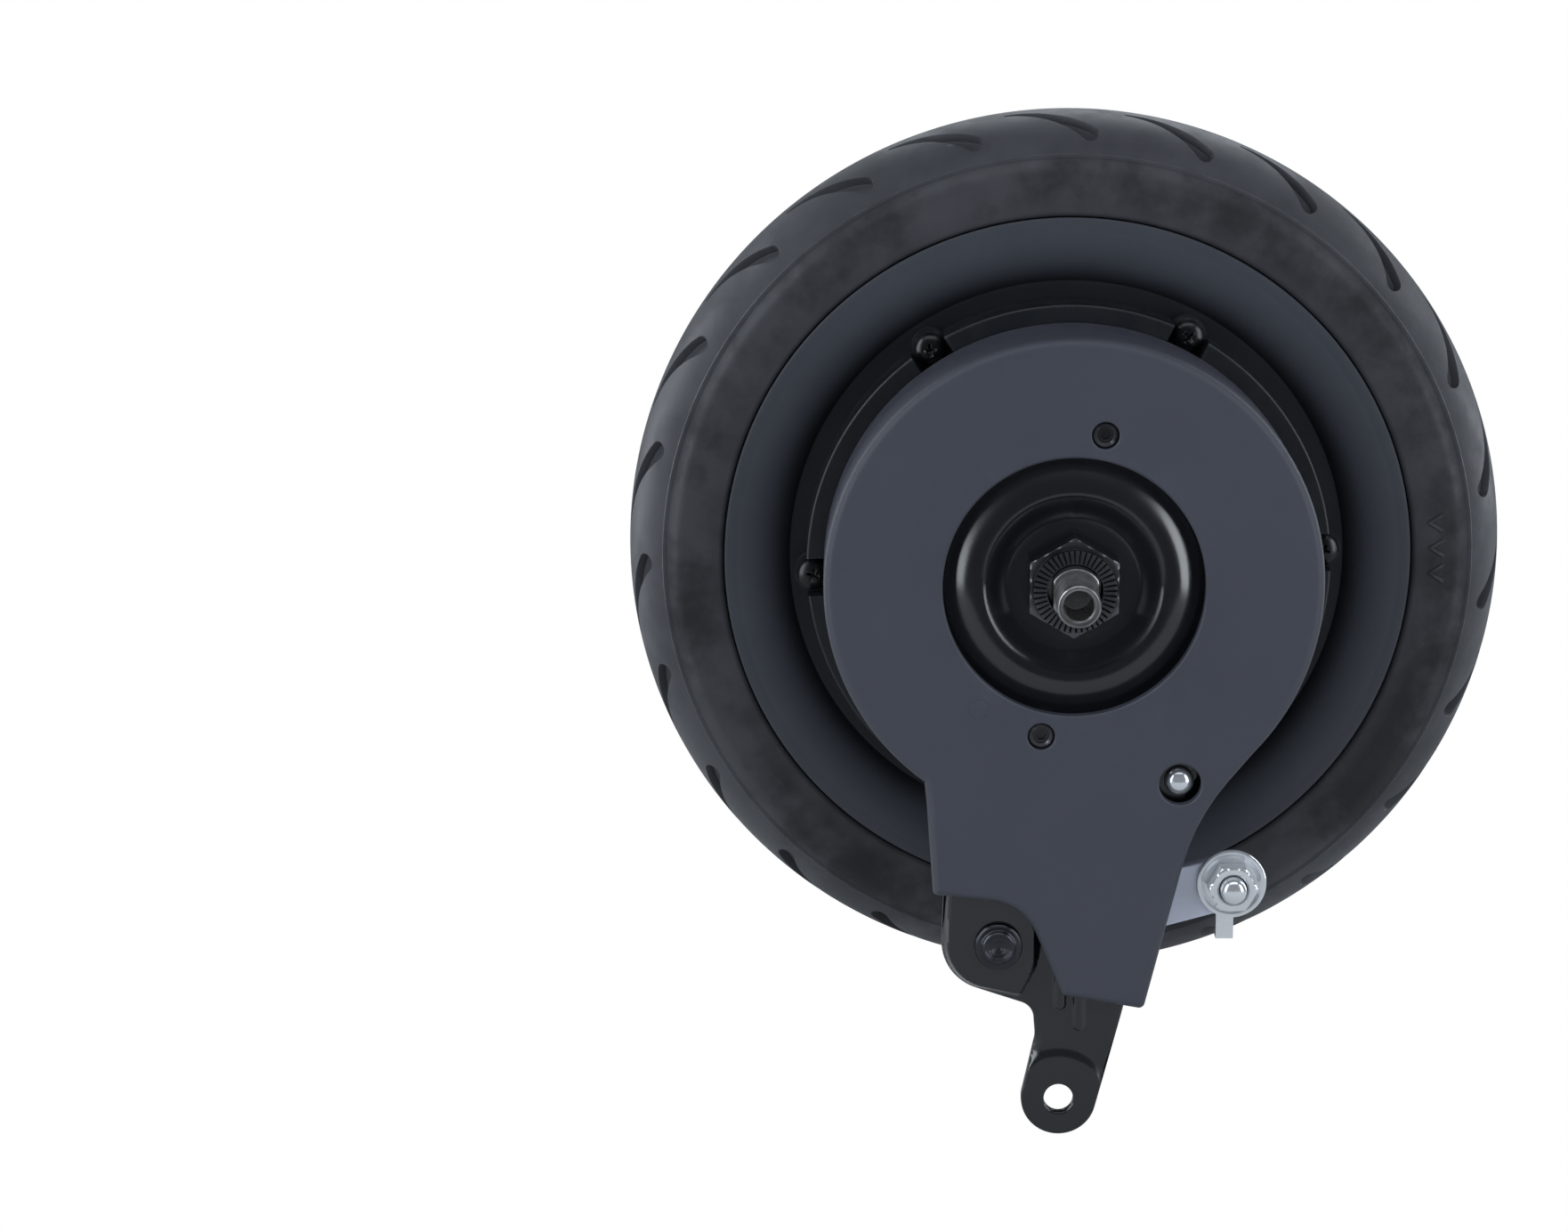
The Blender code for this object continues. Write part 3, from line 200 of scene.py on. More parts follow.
# node helpers: a value is a fixed one or the output of another node
def wire(tree, value, socket):
    if hasattr(value, "links"):
        tree.links.new(value, socket)
    elif value is not None:
        socket.default_value = value


def addNode(tree, kind, inputs=(), **settings):
    node = tree.nodes.new(kind)
    for label, value in settings.items():
        setattr(node, label, value)
    for label, value in dict(inputs).items():
        wire(tree, value, node.inputs[label])
    return node.outputs


def maths(tree, operation, a, b=None):
    return addNode(tree, "ShaderNodeMath", {0: a, 1: b}, operation=operation)[0]


def times(tree, a, b):
    return maths(tree, "MULTIPLY", a, b)


def mixedSum(tree, a, shareA, b, shareB):
    return maths(tree, "ADD", times(tree, a, shareA), times(tree, b, shareB))


def startTree(name, kind, inputs, outputs):  # rows of label, socket kind and usual value
    tree = bpy.data.node_groups.new(name, kind)
    for way, rows in (("INPUT", inputs), ("OUTPUT", outputs)):
        for label, socketKind, value in rows:
            socket = tree.interface.new_socket(name=label, in_out=way, socket_type="NodeSocket" + socketKind)
            if value is not None:
                socket.default_value = value
    return tree, tree.nodes.new("NodeGroupInput").outputs, tree.nodes.new("NodeGroupOutput").inputs


# Geometry Nodes: one tree turns a profile on a lathe, one repeats a unit round the axle
meshRow = ("Geometry", "Geometry", None)


def endTree(tree, geometry, finish, out):
    solid = addNode(tree, "GeometryNodeRealizeInstances", {"Geometry": geometry})
    painted = addNode(tree, "GeometryNodeSetMaterial", {"Geometry": solid["Geometry"], "Material": finish})
    wire(tree, painted["Geometry"], out["Geometry"])
    return tree


def makeLatheTree():
    rows = (
        meshRow, ("Profile", "Object", None), ("Profile Points", "Int", 8), ("Facets", "Int", 120),
        ("Finish", "Material", None),
    )
    tree, given, out = startTree("turnOnLathe", "GeometryNodeTree", rows, (meshRow,))
    count, facets = given["Profile Points"], given["Facets"]
    grid = addNode(tree, "GeometryNodeMeshGrid", {"Vertices X": maths(tree, "ADD", facets, 1.0), "Vertices Y": count})
    index = addNode(tree, "GeometryNodeInputIndex")["Index"]
    row = maths(tree, "MODULO", index, count)
    column = maths(tree, "FLOOR", maths(tree, "DIVIDE", index, count))
    angle = times(tree, maths(tree, "DIVIDE", column, facets), 2 * pi)
    shape = addNode(tree, "GeometryNodeObjectInfo", {"Object": given["Profile"]})["Geometry"]
    spot = addNode(tree, "GeometryNodeInputPosition")["Position"]
    sampled = {"Geometry": shape, "Value": spot, "Index": row}
    split = addNode(tree, "ShaderNodeSeparateXYZ", {
        0: addNode(tree, "GeometryNodeSampleIndex", sampled, data_type="FLOAT_VECTOR")["Value"],
    })
    x = times(tree, split["X"], maths(tree, "COSINE", angle))
    z = times(tree, split["X"], maths(tree, "SINE", angle))
    place = addNode(tree, "ShaderNodeCombineXYZ", {"X": x, "Y": split["Y"], "Z": z})["Vector"]
    move = addNode(tree, "GeometryNodeSetPosition", {"Geometry": grid["Mesh"], "Position": place})["Geometry"]
    merge = addNode(tree, "GeometryNodeMergeByDistance", {"Geometry": move, "Distance": 1e-6})
    return endTree(tree, merge["Geometry"], given["Finish"], out)


def makeRingTree():
    rows = (
        meshRow, ("Unit", "Object", None), ("Copies", "Int", 6), ("Phase", "Float", 0.0), ("Finish", "Material", None),
    )
    tree, given, out = startTree("repeatRoundAxle", "GeometryNodeTree", rows, (meshRow,))
    line = addNode(tree, "GeometryNodeMeshLine", {"Count": given["Copies"], "Offset": (0.0, 0.0, 0.0)})["Mesh"]
    share = maths(tree, "DIVIDE", addNode(tree, "GeometryNodeInputIndex")["Index"], given["Copies"])
    turn = maths(tree, "ADD", times(tree, share, 2 * pi), given["Phase"])
    euler = addNode(tree, "ShaderNodeCombineXYZ", {"Y": times(tree, turn, -1.0)})["Vector"]
    rotation = addNode(tree, "FunctionNodeEulerToRotation", {0: euler})[0]
    shape = addNode(tree, "GeometryNodeObjectInfo", {"Object": given["Unit"]})["Geometry"]
    scattered = {"Points": line, "Instance": shape, "Rotation": rotation}
    scatter = addNode(tree, "GeometryNodeInstanceOnPoints", scattered)
    return endTree(tree, scatter["Instances"], given["Finish"], out)


def runTree(tree, name, values):
    host = newObject(name, bpy.data.meshes.new(name))
    step = host.modifiers.new(tree.name, "NODES")
    step.node_group = tree
    for item in tree.interface.items_tree:
        if item.in_out == "INPUT" and item.name in values:
            step[item.identifier] = values[item.name]
    return bakeMesh(host)


latheTree = makeLatheTree()
ringTree = makeRingTree()


def turned(name, profile, facets):  # a profile that starts on the axis stays open, any other is closed
    points = profile + ([profile[0]] if profile[0][0] > 0.0 else [])
    line = bpy.data.meshes.new("profile")
    spots = [(r * 0.001, y * 0.001, 0.0) for r, y in points]
    line.from_pydata(spots, [(i, i + 1) for i in range(len(points) - 1)], [])
    guide = newObject("profile", line)
    thing = runTree(latheTree, name, {"Profile": guide, "Profile Points": len(points), "Facets": facets})
    bpy.data.objects.remove(guide, do_unlink=True)
    bm = bmesh.new()
    bm.from_mesh(thing.data)
    bmesh.ops.dissolve_degenerate(bm, edges=bm.edges, dist=1e-7)
    bmesh.ops.recalc_face_normals(bm, faces=bm.faces)
    bm.to_mesh(thing.data)
    bm.free()
    return thing


def ringOf(name, unit, copies, phase):
    unit = asObject(unit)
    thing = runTree(ringTree, name, {"Unit": unit, "Copies": copies, "Phase": radians(phase)})
    bpy.data.objects.remove(unit, do_unlink=True)
    return thing


# shader groups: each one's function takes its inputs and gives back its outputs, from object coordinates
def shaderGroup(name, inputs, outputs, fill):
    rows = [(label, "Vector" if isinstance(value, tuple) else "Float", value) for label, value in inputs]
    tree, given, out = startTree(name, "ShaderNodeTree", rows, [(label, "Float", None) for label in outputs])
    for label, value in zip(outputs, fill(tree, *[given[label] for label, value in inputs])):
        wire(tree, value, out[label])
    return tree


def objectPoint(tree):
    return addNode(tree, "ShaderNodeTexCoord")["Object"]


def noise(tree, point, scale, detail=2.0, roughness=0.5):
    inputs = {"Vector": point, "Scale": scale, "Detail": detail, "Roughness": roughness}
    return addNode(tree, "ShaderNodeTexNoise", inputs)["Fac"]


def remap(tree, value, low, high, newLow=0.0, newHigh=1.0):
    inputs = {"Value": value, "From Min": low, "From Max": high, "To Min": newLow, "To Max": newHigh}
    return addNode(tree, "ShaderNodeMapRange", inputs, interpolation_type="SMOOTHSTEP")["Result"]


def mouldedGrain(tree, scale, fineShare):  # moulded or cast texture: pebbles with finer noise on them
    point = objectPoint(tree)
    cells = addNode(tree, "ShaderNodeTexVoronoi", {"Vector": point, "Scale": scale}, feature="SMOOTH_F1")
    fine = noise(tree, point, times(tree, scale, 2.3), 3.0)
    return [maths(tree, "ADD", maths(tree, "SUBTRACT", 1.0, cells["Distance"]), times(tree, fine, fineShare))]


def toneBlotches(tree, scale, sharpness):  # slow change of tone
    point = objectPoint(tree)
    wide = noise(tree, point, scale, 4.0, 0.6)
    small = noise(tree, point, times(tree, scale, 4.7), 3.0, 0.6)
    low, high = maths(tree, "SUBTRACT", 0.5, sharpness), maths(tree, "ADD", 0.5, sharpness)
    return [remap(tree, mixedSum(tree, wide, 0.7, small, 0.3), low, high)]


def paleEdges(tree, start, end, breakup):  # paler convex edges, picked out by pointiness
    edge = remap(tree, addNode(tree, "ShaderNodeNewGeometry")["Pointiness"], start, end)
    return [times(tree, edge, remap(tree, noise(tree, objectPoint(tree), breakup, 3.0), 0.35, 0.65))]


def settledDust(tree, scale, film, specks):  # specks and a thin film, thicker on what faces up
    point = objectPoint(tree)
    facing = addNode(tree, "ShaderNodeSeparateXYZ", {0: addNode(tree, "ShaderNodeNewGeometry")["Normal"]})
    spots = remap(tree, noise(tree, point, scale, 2.0, 0.7), 0.62, 0.78)
    haze = remap(tree, noise(tree, point, maths(tree, "DIVIDE", scale, 14.0), 3.0), 0.35, 0.75)
    return [times(tree, mixedSum(tree, spots, specks, haze, film), remap(tree, facing["Z"], -0.4, 1.0, 0.35, 1.0))]


def turnedLines(tree, lines, centre):  # fine rings that a lathe tool leaves round a centre
    apart = addNode(tree, "ShaderNodeVectorMath", {0: objectPoint(tree), 1: centre}, operation="SUBTRACT")[0]
    flat = addNode(tree, "ShaderNodeVectorMath", {0: apart, 1: (1.0, 0.0, 1.0)}, operation="MULTIPLY")[0]
    radius = addNode(tree, "ShaderNodeVectorMath", {0: flat}, operation="LENGTH")["Value"]
    inputs = {"W": times(tree, radius, lines), "Detail": 2.0, "Scale": 1.0}
    return addNode(tree, "ShaderNodeTexNoise", inputs, noise_dimensions="1D")["Fac"], radius


groups = {name: shaderGroup(name, inputs, outputs, fill) for name, inputs, outputs, fill in (
    ("mouldedGrain", (("Scale", 1500.0), ("Fine Share", 0.4)), ("Height",), mouldedGrain),
    ("toneBlotches", (("Scale", 30.0), ("Sharpness", 0.2)), ("Mask",), toneBlotches),
    ("paleEdges", (("Start", 0.52), ("End", 0.6), ("Breakup", 260.0)), ("Mask",), paleEdges),
    ("settledDust", (("Scale", 900.0), ("Film", 0.3), ("Specks", 0.5)), ("Mask",), settledDust),
    ("turnedLines", (("Lines", 9000.0), ("Centre", (0.0, 0.0, 0.0))), ("Height", "Radius"), turnedLines),
)}


def placeGroup(tree, key, values=()):  # values in the order of the group's inputs
    return addNode(tree, "ShaderNodeGroup", dict(enumerate(values)), node_tree=groups[key])


def blend(tree, mask, base, top, amount=1.0):
    base, top = [value if hasattr(value, "links") else (*value, 1.0) for value in (base, top)]
    inputs = {0: times(tree, mask, amount), 6: base, 7: top}
    return addNode(tree, "ShaderNodeMix", inputs, data_type="RGBA")[2]


shaderSettings = (
    ("Metallic", "metallic", 0.0), ("Specular IOR Level", "specular", 0.5), ("Coat Weight", "coat", 0.0),
    ("Coat Roughness", "coatRoughness", 0.1),
)


def finishOf(name, look):  # edge and dust are (tone, amount), painted light bands are (near, far, tone, amount)
    material = bpy.data.materials.new(name)
    material.use_nodes = True
    tree = material.node_tree
    shader = tree.nodes["Principled BSDF"].inputs
    for label, key, usual in shaderSettings:
        shader[label].default_value = look.get(key, usual)
    blotch = placeGroup(tree, "toneBlotches", look.get("blotch", (60.0, 0.25)))["Mask"]
    colour = blend(tree, blotch, look["base"], look["second"])
    rough = remap(tree, blotch, 0.0, 1.0, *look["roughness"])
    rings = placeGroup(tree, "turnedLines", look.get("lines", ()))
    for near, far, tint, amount in look.get("paintedLightBands", ()):  # painted shade and painted highlights, banded by the distance from the axle
        colour = blend(tree, remap(tree, rings["Radius"], near, far), colour, tint, amount)
    if "edge" in look:
        colour = blend(tree, placeGroup(tree, "paleEdges")["Mask"], colour, *look["edge"])
    if "dust" in look:
        dust = placeGroup(tree, "settledDust", look.get("dustRange", ()))["Mask"]
        colour = blend(tree, dust, colour, *look["dust"])
        rough = maths(tree, "ADD", rough, times(tree, dust, 0.25))
    grain = placeGroup(tree, "mouldedGrain", look.get("grain", ()))["Height"]
    height = times(tree, grain, look.get("grainShare", 1.0))
    if "lines" in look:
        height = maths(tree, "ADD", height, rings["Height"])
    depth, strength = look.get("bumpDepth", 0.0001), look.get("bump", 0.3)
    bump = addNode(tree, "ShaderNodeBump", {"Strength": strength, "Distance": depth, "Height": height})
    wire(tree, colour, shader["Base Color"])
    wire(tree, rough, shader["Roughness"])
    wire(tree, bump["Normal"], shader["Normal"])
    return material


def paint(thing, finish):
    thing.data.materials.clear()
    thing.data.materials.append(finish)


def addPiece(thing, body, slot, finish, *replaced):
    paint(thing, finish)
    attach(thing, body)
    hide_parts(*replaced)


# camera, lights and floor
view = {
    "distance": 1.0, "azimuth": -3.12, "elevation": 11.38, "yaw": 3.861, "pitch": 1.032, "lens": 96.62, "sensor": 36.0,
}
a, e = radians(view["azimuth"]), radians(view["elevation"])
cameraData = bpy.data.cameras.new("camera")
cameraData.lens = view["lens"]
cameraData.sensor_width = view["sensor"]
cameraData.clip_start = 0.05
camera = newObject("camera", cameraData)
camera.location = Vector((sin(a) * cos(e), -cos(a) * cos(e), sin(e))) * view["distance"]
camera.rotation_euler = (
    pi / 2 - radians(view["elevation"] + view["pitch"]), 0.0, radians(view["azimuth"] + view["yaw"]),
)
bpy.context.scene.camera = camera

studio = {
    "world": 0.115, "tint": (0.88, 0.94, 1.0), "floorHeight": -132.2, "floorSize": 900.0, "floorTone": 0.62,
    "lamps": (  # name, place, width, height, power
        ("leftSoftbox", (-0.95, -0.70, 0.30), 0.45, 1.20, 9.4),
        ("rightSoftbox", (0.95, -0.75, 0.15), 0.40, 1.20, 8.6),
        ("topSoftbox", (0.0, -0.75, 1.15), 1.30, 0.60, 4.8),
        ("backSoftbox", (0.1, 1.10, 0.80), 1.20, 0.80, 8.0),
        ("backLeftSoftbox", (-1.00, 0.60, 0.25), 0.45, 1.20, 7.5),
        ("backRightSoftbox", (1.00, 0.60, 0.25), 0.45, 1.20, 7.0),
    ),
}
for label, spot, wide, tall, power in studio["lamps"]:
    lampData = bpy.data.lights.new(label, "AREA")
    lampData.shape = "RECTANGLE"
    lampData.size, lampData.size_y = wide, tall
    lampData.energy = power
    lampData.color = studio["tint"]
    lamp = newObject(label, lampData)
    lamp.location = spot
    lamp.rotation_euler = (-Vector(spot)).to_track_quat("-Z", "Y").to_euler()


def seenWhite(tree, surface, output, kind):  # the camera sees a plain white, other rays the surface
    white = addNode(tree, kind, {"Color": (1.0,) * 4, "Strength": 1.0})[0]
    seen = addNode(tree, "ShaderNodeLightPath")["Is Camera Ray"]
    mixed = addNode(tree, "ShaderNodeMixShader", {0: seen, 1: surface, 2: white})[0]
    wire(tree, mixed, tree.nodes[output].inputs["Surface"])


world = bpy.data.worlds.new("studio")
world.use_nodes = True
bpy.context.scene.world = world
plain = world.node_tree.nodes["Background"]
plain.inputs["Color"].default_value = (*studio["tint"], 1.0)
plain.inputs["Strength"].default_value = studio["world"]
seenWhite(world.node_tree, plain.outputs[0], "World Output", "ShaderNodeBackground")

floorPaint = bpy.data.materials.new("floorPaint")
floorPaint.use_nodes = True
matt = floorPaint.node_tree.nodes["Principled BSDF"]
matt.inputs["Base Color"].default_value = (*[studio["floorTone"]] * 3, 1.0)
matt.inputs["Roughness"].default_value = 0.8
matt.inputs["Specular IOR Level"].default_value = 0.1
seenWhite(floorPaint.node_tree, matt.outputs[0], "Material Output", "ShaderNodeEmission")
bm = bmesh.new()
bmesh.ops.create_grid(bm, x_segments=1, y_segments=1, size=studio["floorSize"] / 2)
bmesh.ops.translate(bm, verts=bm.verts, vec=(0.0, 0.0, studio["floorHeight"]))
floor = toObject("floor", bm)
paint(floor, floorPaint)
bpy.context.scene.view_settings.view_transform = "Standard"
print("stage: camera, lamps and floor")

# tyre
tyre = {
    "radius": 102.5, "crown": 24.0, "width": 20.6, "bead": 79.9, "plug": 72.8, "neck": 17.5, "facets": 276,
    "slots": 23, "slotPhase": 87.5, "slotWidth": 4.2, "slotSweep": 11.0, "slotInner": 4.0, "slotOuter": 13.4,
    "look": {
        "base": (0.013, 0.0135, 0.0165), "second": (0.044, 0.045, 0.052), "roughness": (0.60, 0.46), "specular": 0.32,
        "blotch": (24.0, 0.10), "dust": ((0.11, 0.11, 0.12), 0.30),
        "dustRange": (1300.0, 0.45, 0.5), "grain": (2600.0, 0.8),
        "bump": 0.25, "edge": ((0.12, 0.12, 0.13), 0.35),
        # the bands paint highlights: a lighter band along the shoulder ridge and a fainter one near the bead
        "paintedLightBands": ((0.0920, 0.0945, (0.046, 0.048, 0.056), 0.65), (0.0850, 0.0815, (0.036, 0.037, 0.043), 0.5)),
    },
}


def crownRadius(y):
    return tyre["radius"] - tyre["crown"] + sqrt(tyre["crown"] ** 2 - y * y)


def slotOutline(grow):  # comma shape in (arc length, width) millimetres: narrow tail, round end
    steps = 16
    run = radians(tyre["slotSweep"]) * tyre["radius"]
    reach = tyre["slotOuter"] - tyre["slotInner"]
    left, right = [], []
    for i in range(steps + 1):
        along = i / steps
        spot = Vector((run * (1.0 - along), tyre["slotInner"] + reach * along**1.7))
        ahead = Vector((-run, 1.7 * reach * along**0.7)).normalized()
        side = Vector((-ahead.y, ahead.x)) * max(0.08, tyre["slotWidth"] * (0.10 + 0.90 * along**0.8) / 2 + grow)
        left.append(spot + side)
        right.append(spot - side)
    tip = [spot + side * cos(radians(t)) + ahead * side.length * sin(radians(t)) for t in range(18, 180, 18)]
    return left + tip + right[::-1]


def slotCutter(side):
    outlines = []
    for depth, grow in ((-2.2, -0.75), (-1.85, -0.30), (-0.35, 0.0), (0.10, 0.22), (2.0, 0.9)):
        outline = []
        for arc, y in slotOutline(grow):
            lean = asin(y / tyre["crown"])
            x, z = polar(crownRadius(y) + depth * cos(lean), degrees(arc / tyre["radius"]))
            outline.append((x, side * (y + depth * sin(lean)), z))
        outlines.append(outline)
    return loft(outlines)


def tyreProfile():
    half = []
    for a in np.linspace(0.0, 49.6, 26):
        half.append((tyre["radius"] - tyre["crown"] + polar(tyre["crown"], a)[0], polar(tyre["crown"], a)[1]))
    half += [(94.16, 18.46), (94.02, 18.74), (93.50, 18.74), (93.18, 18.76), (93.04, 18.98), (92.86, 19.22)]
    half += [(92.3, 19.6), (91.7, 20.02), (91.0, 20.36), (90.3, 20.54), (89.5, 20.6), (86.0, 20.6), (81.2, 20.6)]
    half += [(80.6, 20.5), (80.15, 20.2), (tyre["bead"], 19.7), (tyre["bead"], tyre["neck"])]
    half += [(tyre["plug"], tyre["neck"])]
    return [(r, -y) for r, y in half[:0:-1]] + half


chevrons = {  # three plain direction marks on each sidewall
    "radius": 85.6, "middle": 2.0, "spread": 4.0, "rise": 0.3,
    "outline": ((-1.9, 0.0), (1.6, 2.2), (1.6, 1.3), (-0.6, 0.0), (1.6, -1.3), (1.6, -2.2)),
}


def chevronMark(side, angle):
    x, z = polar(chevrons["radius"], angle)
    outline = [(x + u, z + v) for u, v in chevrons["outline"]]
    return prism(outline, side * (tyre["width"] - chevrons["rise"]), side * (tyre["width"] + chevrons["rise"]))


tyrePiece = turned("tyreBody", tyreProfile(), tyre["facets"])
for side in (-1, 1):
    combine(tyrePiece, ringOf("slotCutters", slotCutter(side), tyre["slots"], tyre["slotPhase"]))
    for i in (-1, 0, 1):
        combine(tyrePiece, chevronMark(side, chevrons["middle"] + i * chevrons["spread"]), "UNION")
smoothShade(tyrePiece, 38.0)
addPiece(tyrePiece, "wheel", "tyre_rubber", finishOf("tyreRubber", tyre["look"]), "tyre")
print("stage: tyre", len(tyrePiece.data.polygons))


# rim: a lipped flange and a smooth concave face down to the covers
rim = {
    "flange": 79.6, "lip": 76.8, "face": 20.6, "seat": 64.5, "seatFace": 15.0, "bore": 52.8, "well": 72.5,
    "under": 17.8, "swell": 2.6,
    "look": {
        "base": (0.040, 0.044, 0.054), "second": (0.047, 0.051, 0.062), "roughness": (0.45, 0.51), "specular": 0.32,
        "blotch": (40.0, 0.4), "grain": (3800.0, 0.6),
        # the band paints shade: the face turns almost black towards the ring, where the deep recess beside the side
        # cover lies in shadow
        "bump": 0.10, "paintedLightBands": ((0.0700, 0.0630, (0.003, 0.004, 0.006), 0.96),),
    },
}


def rimProfile():
    face = [(79.3, 20.52), (78.9, rim["face"]), (77.3, rim["face"]), (76.9, 20.55)]
    width, drop = rim["lip"] - rim["seat"], rim["face"] - rim["seatFace"]
    face += [(rim["lip"] - width * t, rim["face"] - drop * t ** rim["swell"]) for t in np.linspace(0.04, 1.0, 22)]
    half = [(rim["well"], rim["under"]), (rim["flange"], rim["under"]), (rim["flange"], 20.25)]
    half += face + [(rim["bore"], rim["seatFace"])]
    return half + [(r, -y) for r, y in reversed(half)]


rimPiece = smoothShade(turned("rimBody", rimProfile(), 180))
addPiece(rimPiece, "wheel", "rim_paint", finishOf("rimSatin", rim["look"]), "wheel_rim")


# side covers: the notched ring on the brake side and a plain dome on the motor side
covers = {
    "ring": 60.6, "ringInner": 53.5, "front": 27.0, "seat": 15.3, "web": 19.5, "back": 16.5, "hub": 19.8, "lip": 24.7,
    "spigot": 52.5, "bearing": 16.3, "seal": 12.0, "screws": 6, "phase": 3.0, "circle": 59.1, "lug": 4.2,
    "screwSeat": 21.5, "notch": 4.4,
    "look": {
        "base": (0.0065, 0.0080, 0.0105), "second": (0.009, 0.0105, 0.013), "roughness": (0.38, 0.48), "specular": 0.35,
        "grain": (2600.0, 0.7), "bump": 0.14, "edge": ((0.07, 0.07, 0.08), 0.3),
    },
}


def brakeSideProfile():
    c = covers
    ring = [(c["ring"], -c["seat"]), (c["ring"], -26.3), (60.45, -26.72), (60.2, -26.92), (59.85, -c["front"])]
    ring += [(54.0, -c["front"]), (53.65, -26.85), (c["ringInner"], -26.5), (c["ringInner"], -20.1), (52.9, -c["web"])]
    hub = [(c["hub"] + 1.0, -c["web"]), (c["hub"] + 0.2, -19.9), (c["hub"], -20.6), (c["hub"], -26.1)]
    hub += [(c["hub"] - 0.4, -26.5), (c["seal"], -26.5), (c["seal"], -c["lip"]), (c["bearing"], -c["lip"])]
    hub += [(c["bearing"], -15.2), (c["hub"], -15.2), (c["hub"], -c["back"]), (c["spigot"] - 2.2, -c["back"])]
    return ring + hub + [(c["spigot"] - 2.2, -13.7), (c["spigot"], -13.7), (c["spigot"], -c["seat"])]


def notchCutter():  # a clean pocket, open outwards, with rounded inner corners
    inner, half = covers["circle"] - 4.35, covers["notch"]
    corners = [(inner, -half, 1.3), (inner, half, 1.3), (66.5, half, 0.0), (66.5, -half, 0.0)]
    return prism(rounded(corners[::-1], 15.0), -covers["screwSeat"], -29.0)


brakeSide = turned("brakeSideCover", brakeSideProfile(), 180)
lug = bar(covers["lug"], -covers["screwSeat"] - 0.8, -covers["seat"] - 0.2, (covers["circle"], 0.0), 36)
combine(brakeSide, ringOf("lugs", lug, covers["screws"], covers["phase"]), "UNION")
combine(brakeSide, ringOf("notches", notchCutter(), covers["screws"], covers["phase"]))
coverFinish = finishOf("coverCasting", covers["look"])
addPiece(smoothShade(brakeSide), "wheel", "cover_casting", coverFinish, "brake_side_cover")


def motorSideProfile():
    face = [(64.0, 15.3), (64.0, 18.1), (63.8, 18.6), (63.3, 18.8), (55.6, 18.8), (54.7, 18.86)]
    dome = [(54.7 - 21.9 * t, 18.86 + 3.94 * (3 * t * t - 2 * t**3)) for t in np.linspace(0.08, 1.0, 14)]
    hub = [(30.0, 23.2), (24.0, 23.9), (21.8, 24.0), (20.8, 24.3), (19.9, 25.2), (19.8, 27.2), (19.4, 27.6)]
    hub += [(19.0, 27.7), (12.4, 27.7), (12.0, 27.3), (12.0, 24.7), (16.3, 24.7), (16.3, 15.2), (19.8, 15.2)]
    return face + dome + hub + [(19.8, 18.0), (50.3, 16.8), (50.3, 13.7), (52.5, 13.7), (52.5, 15.3)]


motorSide = turned("motorSideCover", motorSideProfile(), 180)
addPiece(smoothShade(motorSide), "wheel", "cover_casting", coverFinish, "motor_side_cover")


# black pan head screws with a cross recess, one ring of them on each side cover
panHead = {
    "radius": 3.75, "height": 2.8, "recess": 1.75, "shank": 2.0, "turn": 20.0,
    "rings": (("brake", -21.8, False, 13.8), ("motor", 19.1, True, 11.1)),  # side, seat, turned over, length
    "look": {
        "base": (0.006, 0.006, 0.007), "second": (0.012, 0.012, 0.013), "roughness": (0.20, 0.32), "metallic": 0.5,
        "specular": 0.6, "edge": ((0.25, 0.25, 0.26), 0.35), "bump": 0.06,
    },
}


def panScrew(length):
    radius, height, recess = panHead["radius"], panHead["height"], panHead["recess"]
    profile = [(radius * s, -height * (1.0 - 0.42 * s**2.6)) for s in np.linspace(0.0, 0.93, 10)]
    profile += [(radius, -height * 0.42), (radius, -0.25), (radius - 0.2, 0.0), (panHead["shank"], 0.0)]
    head = turned("screwUnit", profile + [(panHead["shank"], length), (0.0, length)], 40)
    for turn in (0.0, 90.0):  # the two arms of the cross
        spin = Matrix.Rotation(radians(turn + panHead["turn"]), 4, "Y")
        arm = []
        for y, reach, half in (
            (-height - 0.4, recess, recess * 0.21), (-height + recess * 0.95, recess * 0.45, recess * 0.15),
        ):
            square = ((-reach, y, -half), (reach, y, -half), (reach, y, half), (-reach, y, half))
            arm.append([spin @ Vector(p) for p in square])
        combine(head, loft(arm))
    return smoothShade(head)


def shifted(thing, x, y, z, flip=False):
    matrix = Matrix.Translation((x * 0.001, y * 0.001, z * 0.001))
    if flip:
        matrix = matrix @ Matrix.Rotation(pi, 4, "Z")
    thing.data.transform(matrix)
    return thing


screwFinish = finishOf("screwBlack", panHead["look"])
for label, seat, flip, length in panHead["rings"]:
    unit = shifted(panScrew(length), covers["circle"], seat, 0.0, flip)
    ring = smoothShade(ringOf(label + "CoverScrews", unit, covers["screws"], covers["phase"]), weighted=False)
    names = [f"{label}_cover_screw_{i + 1}" for i in range(covers["screws"])]
    addPiece(ring, "wheel", "screw_black", screwFinish, *names)
print("stage: rim, side covers and their screws")


# moulded plastic brake cover: rounded face, skirt that stops above the lever, holes and bosses
shell = {
    "front": -52.4, "inner": -50.0, "back": -27.6, "wall": 2.0, "fillet": 2.0, "hole": 29.6, "skirtEnd": -64.0,
    "through": -49.7,
    "window": (24.7, -45.6, 4.8), "screws": ((6.5, 34.7), (-7.0, -34.5)), "boss": 5.2, "bossEnd": -48.5,
    "counterbore": 3.1, "counterDepth": 2.6, "bore": 1.8, "mark": (-21.2, -28.1, 2.4),
    "look": {
        "base": (0.043, 0.046, 0.062), "second": (0.048, 0.051, 0.068), "roughness": (0.50, 0.56), "specular": 0.45,
        "blotch": (18.0, 0.3), "grain": (3400.0, 1.1), "bump": 0.22,
        "bumpDepth": 0.00012, "edge": ((0.14, 0.15, 0.18), 0.30),
    },
}


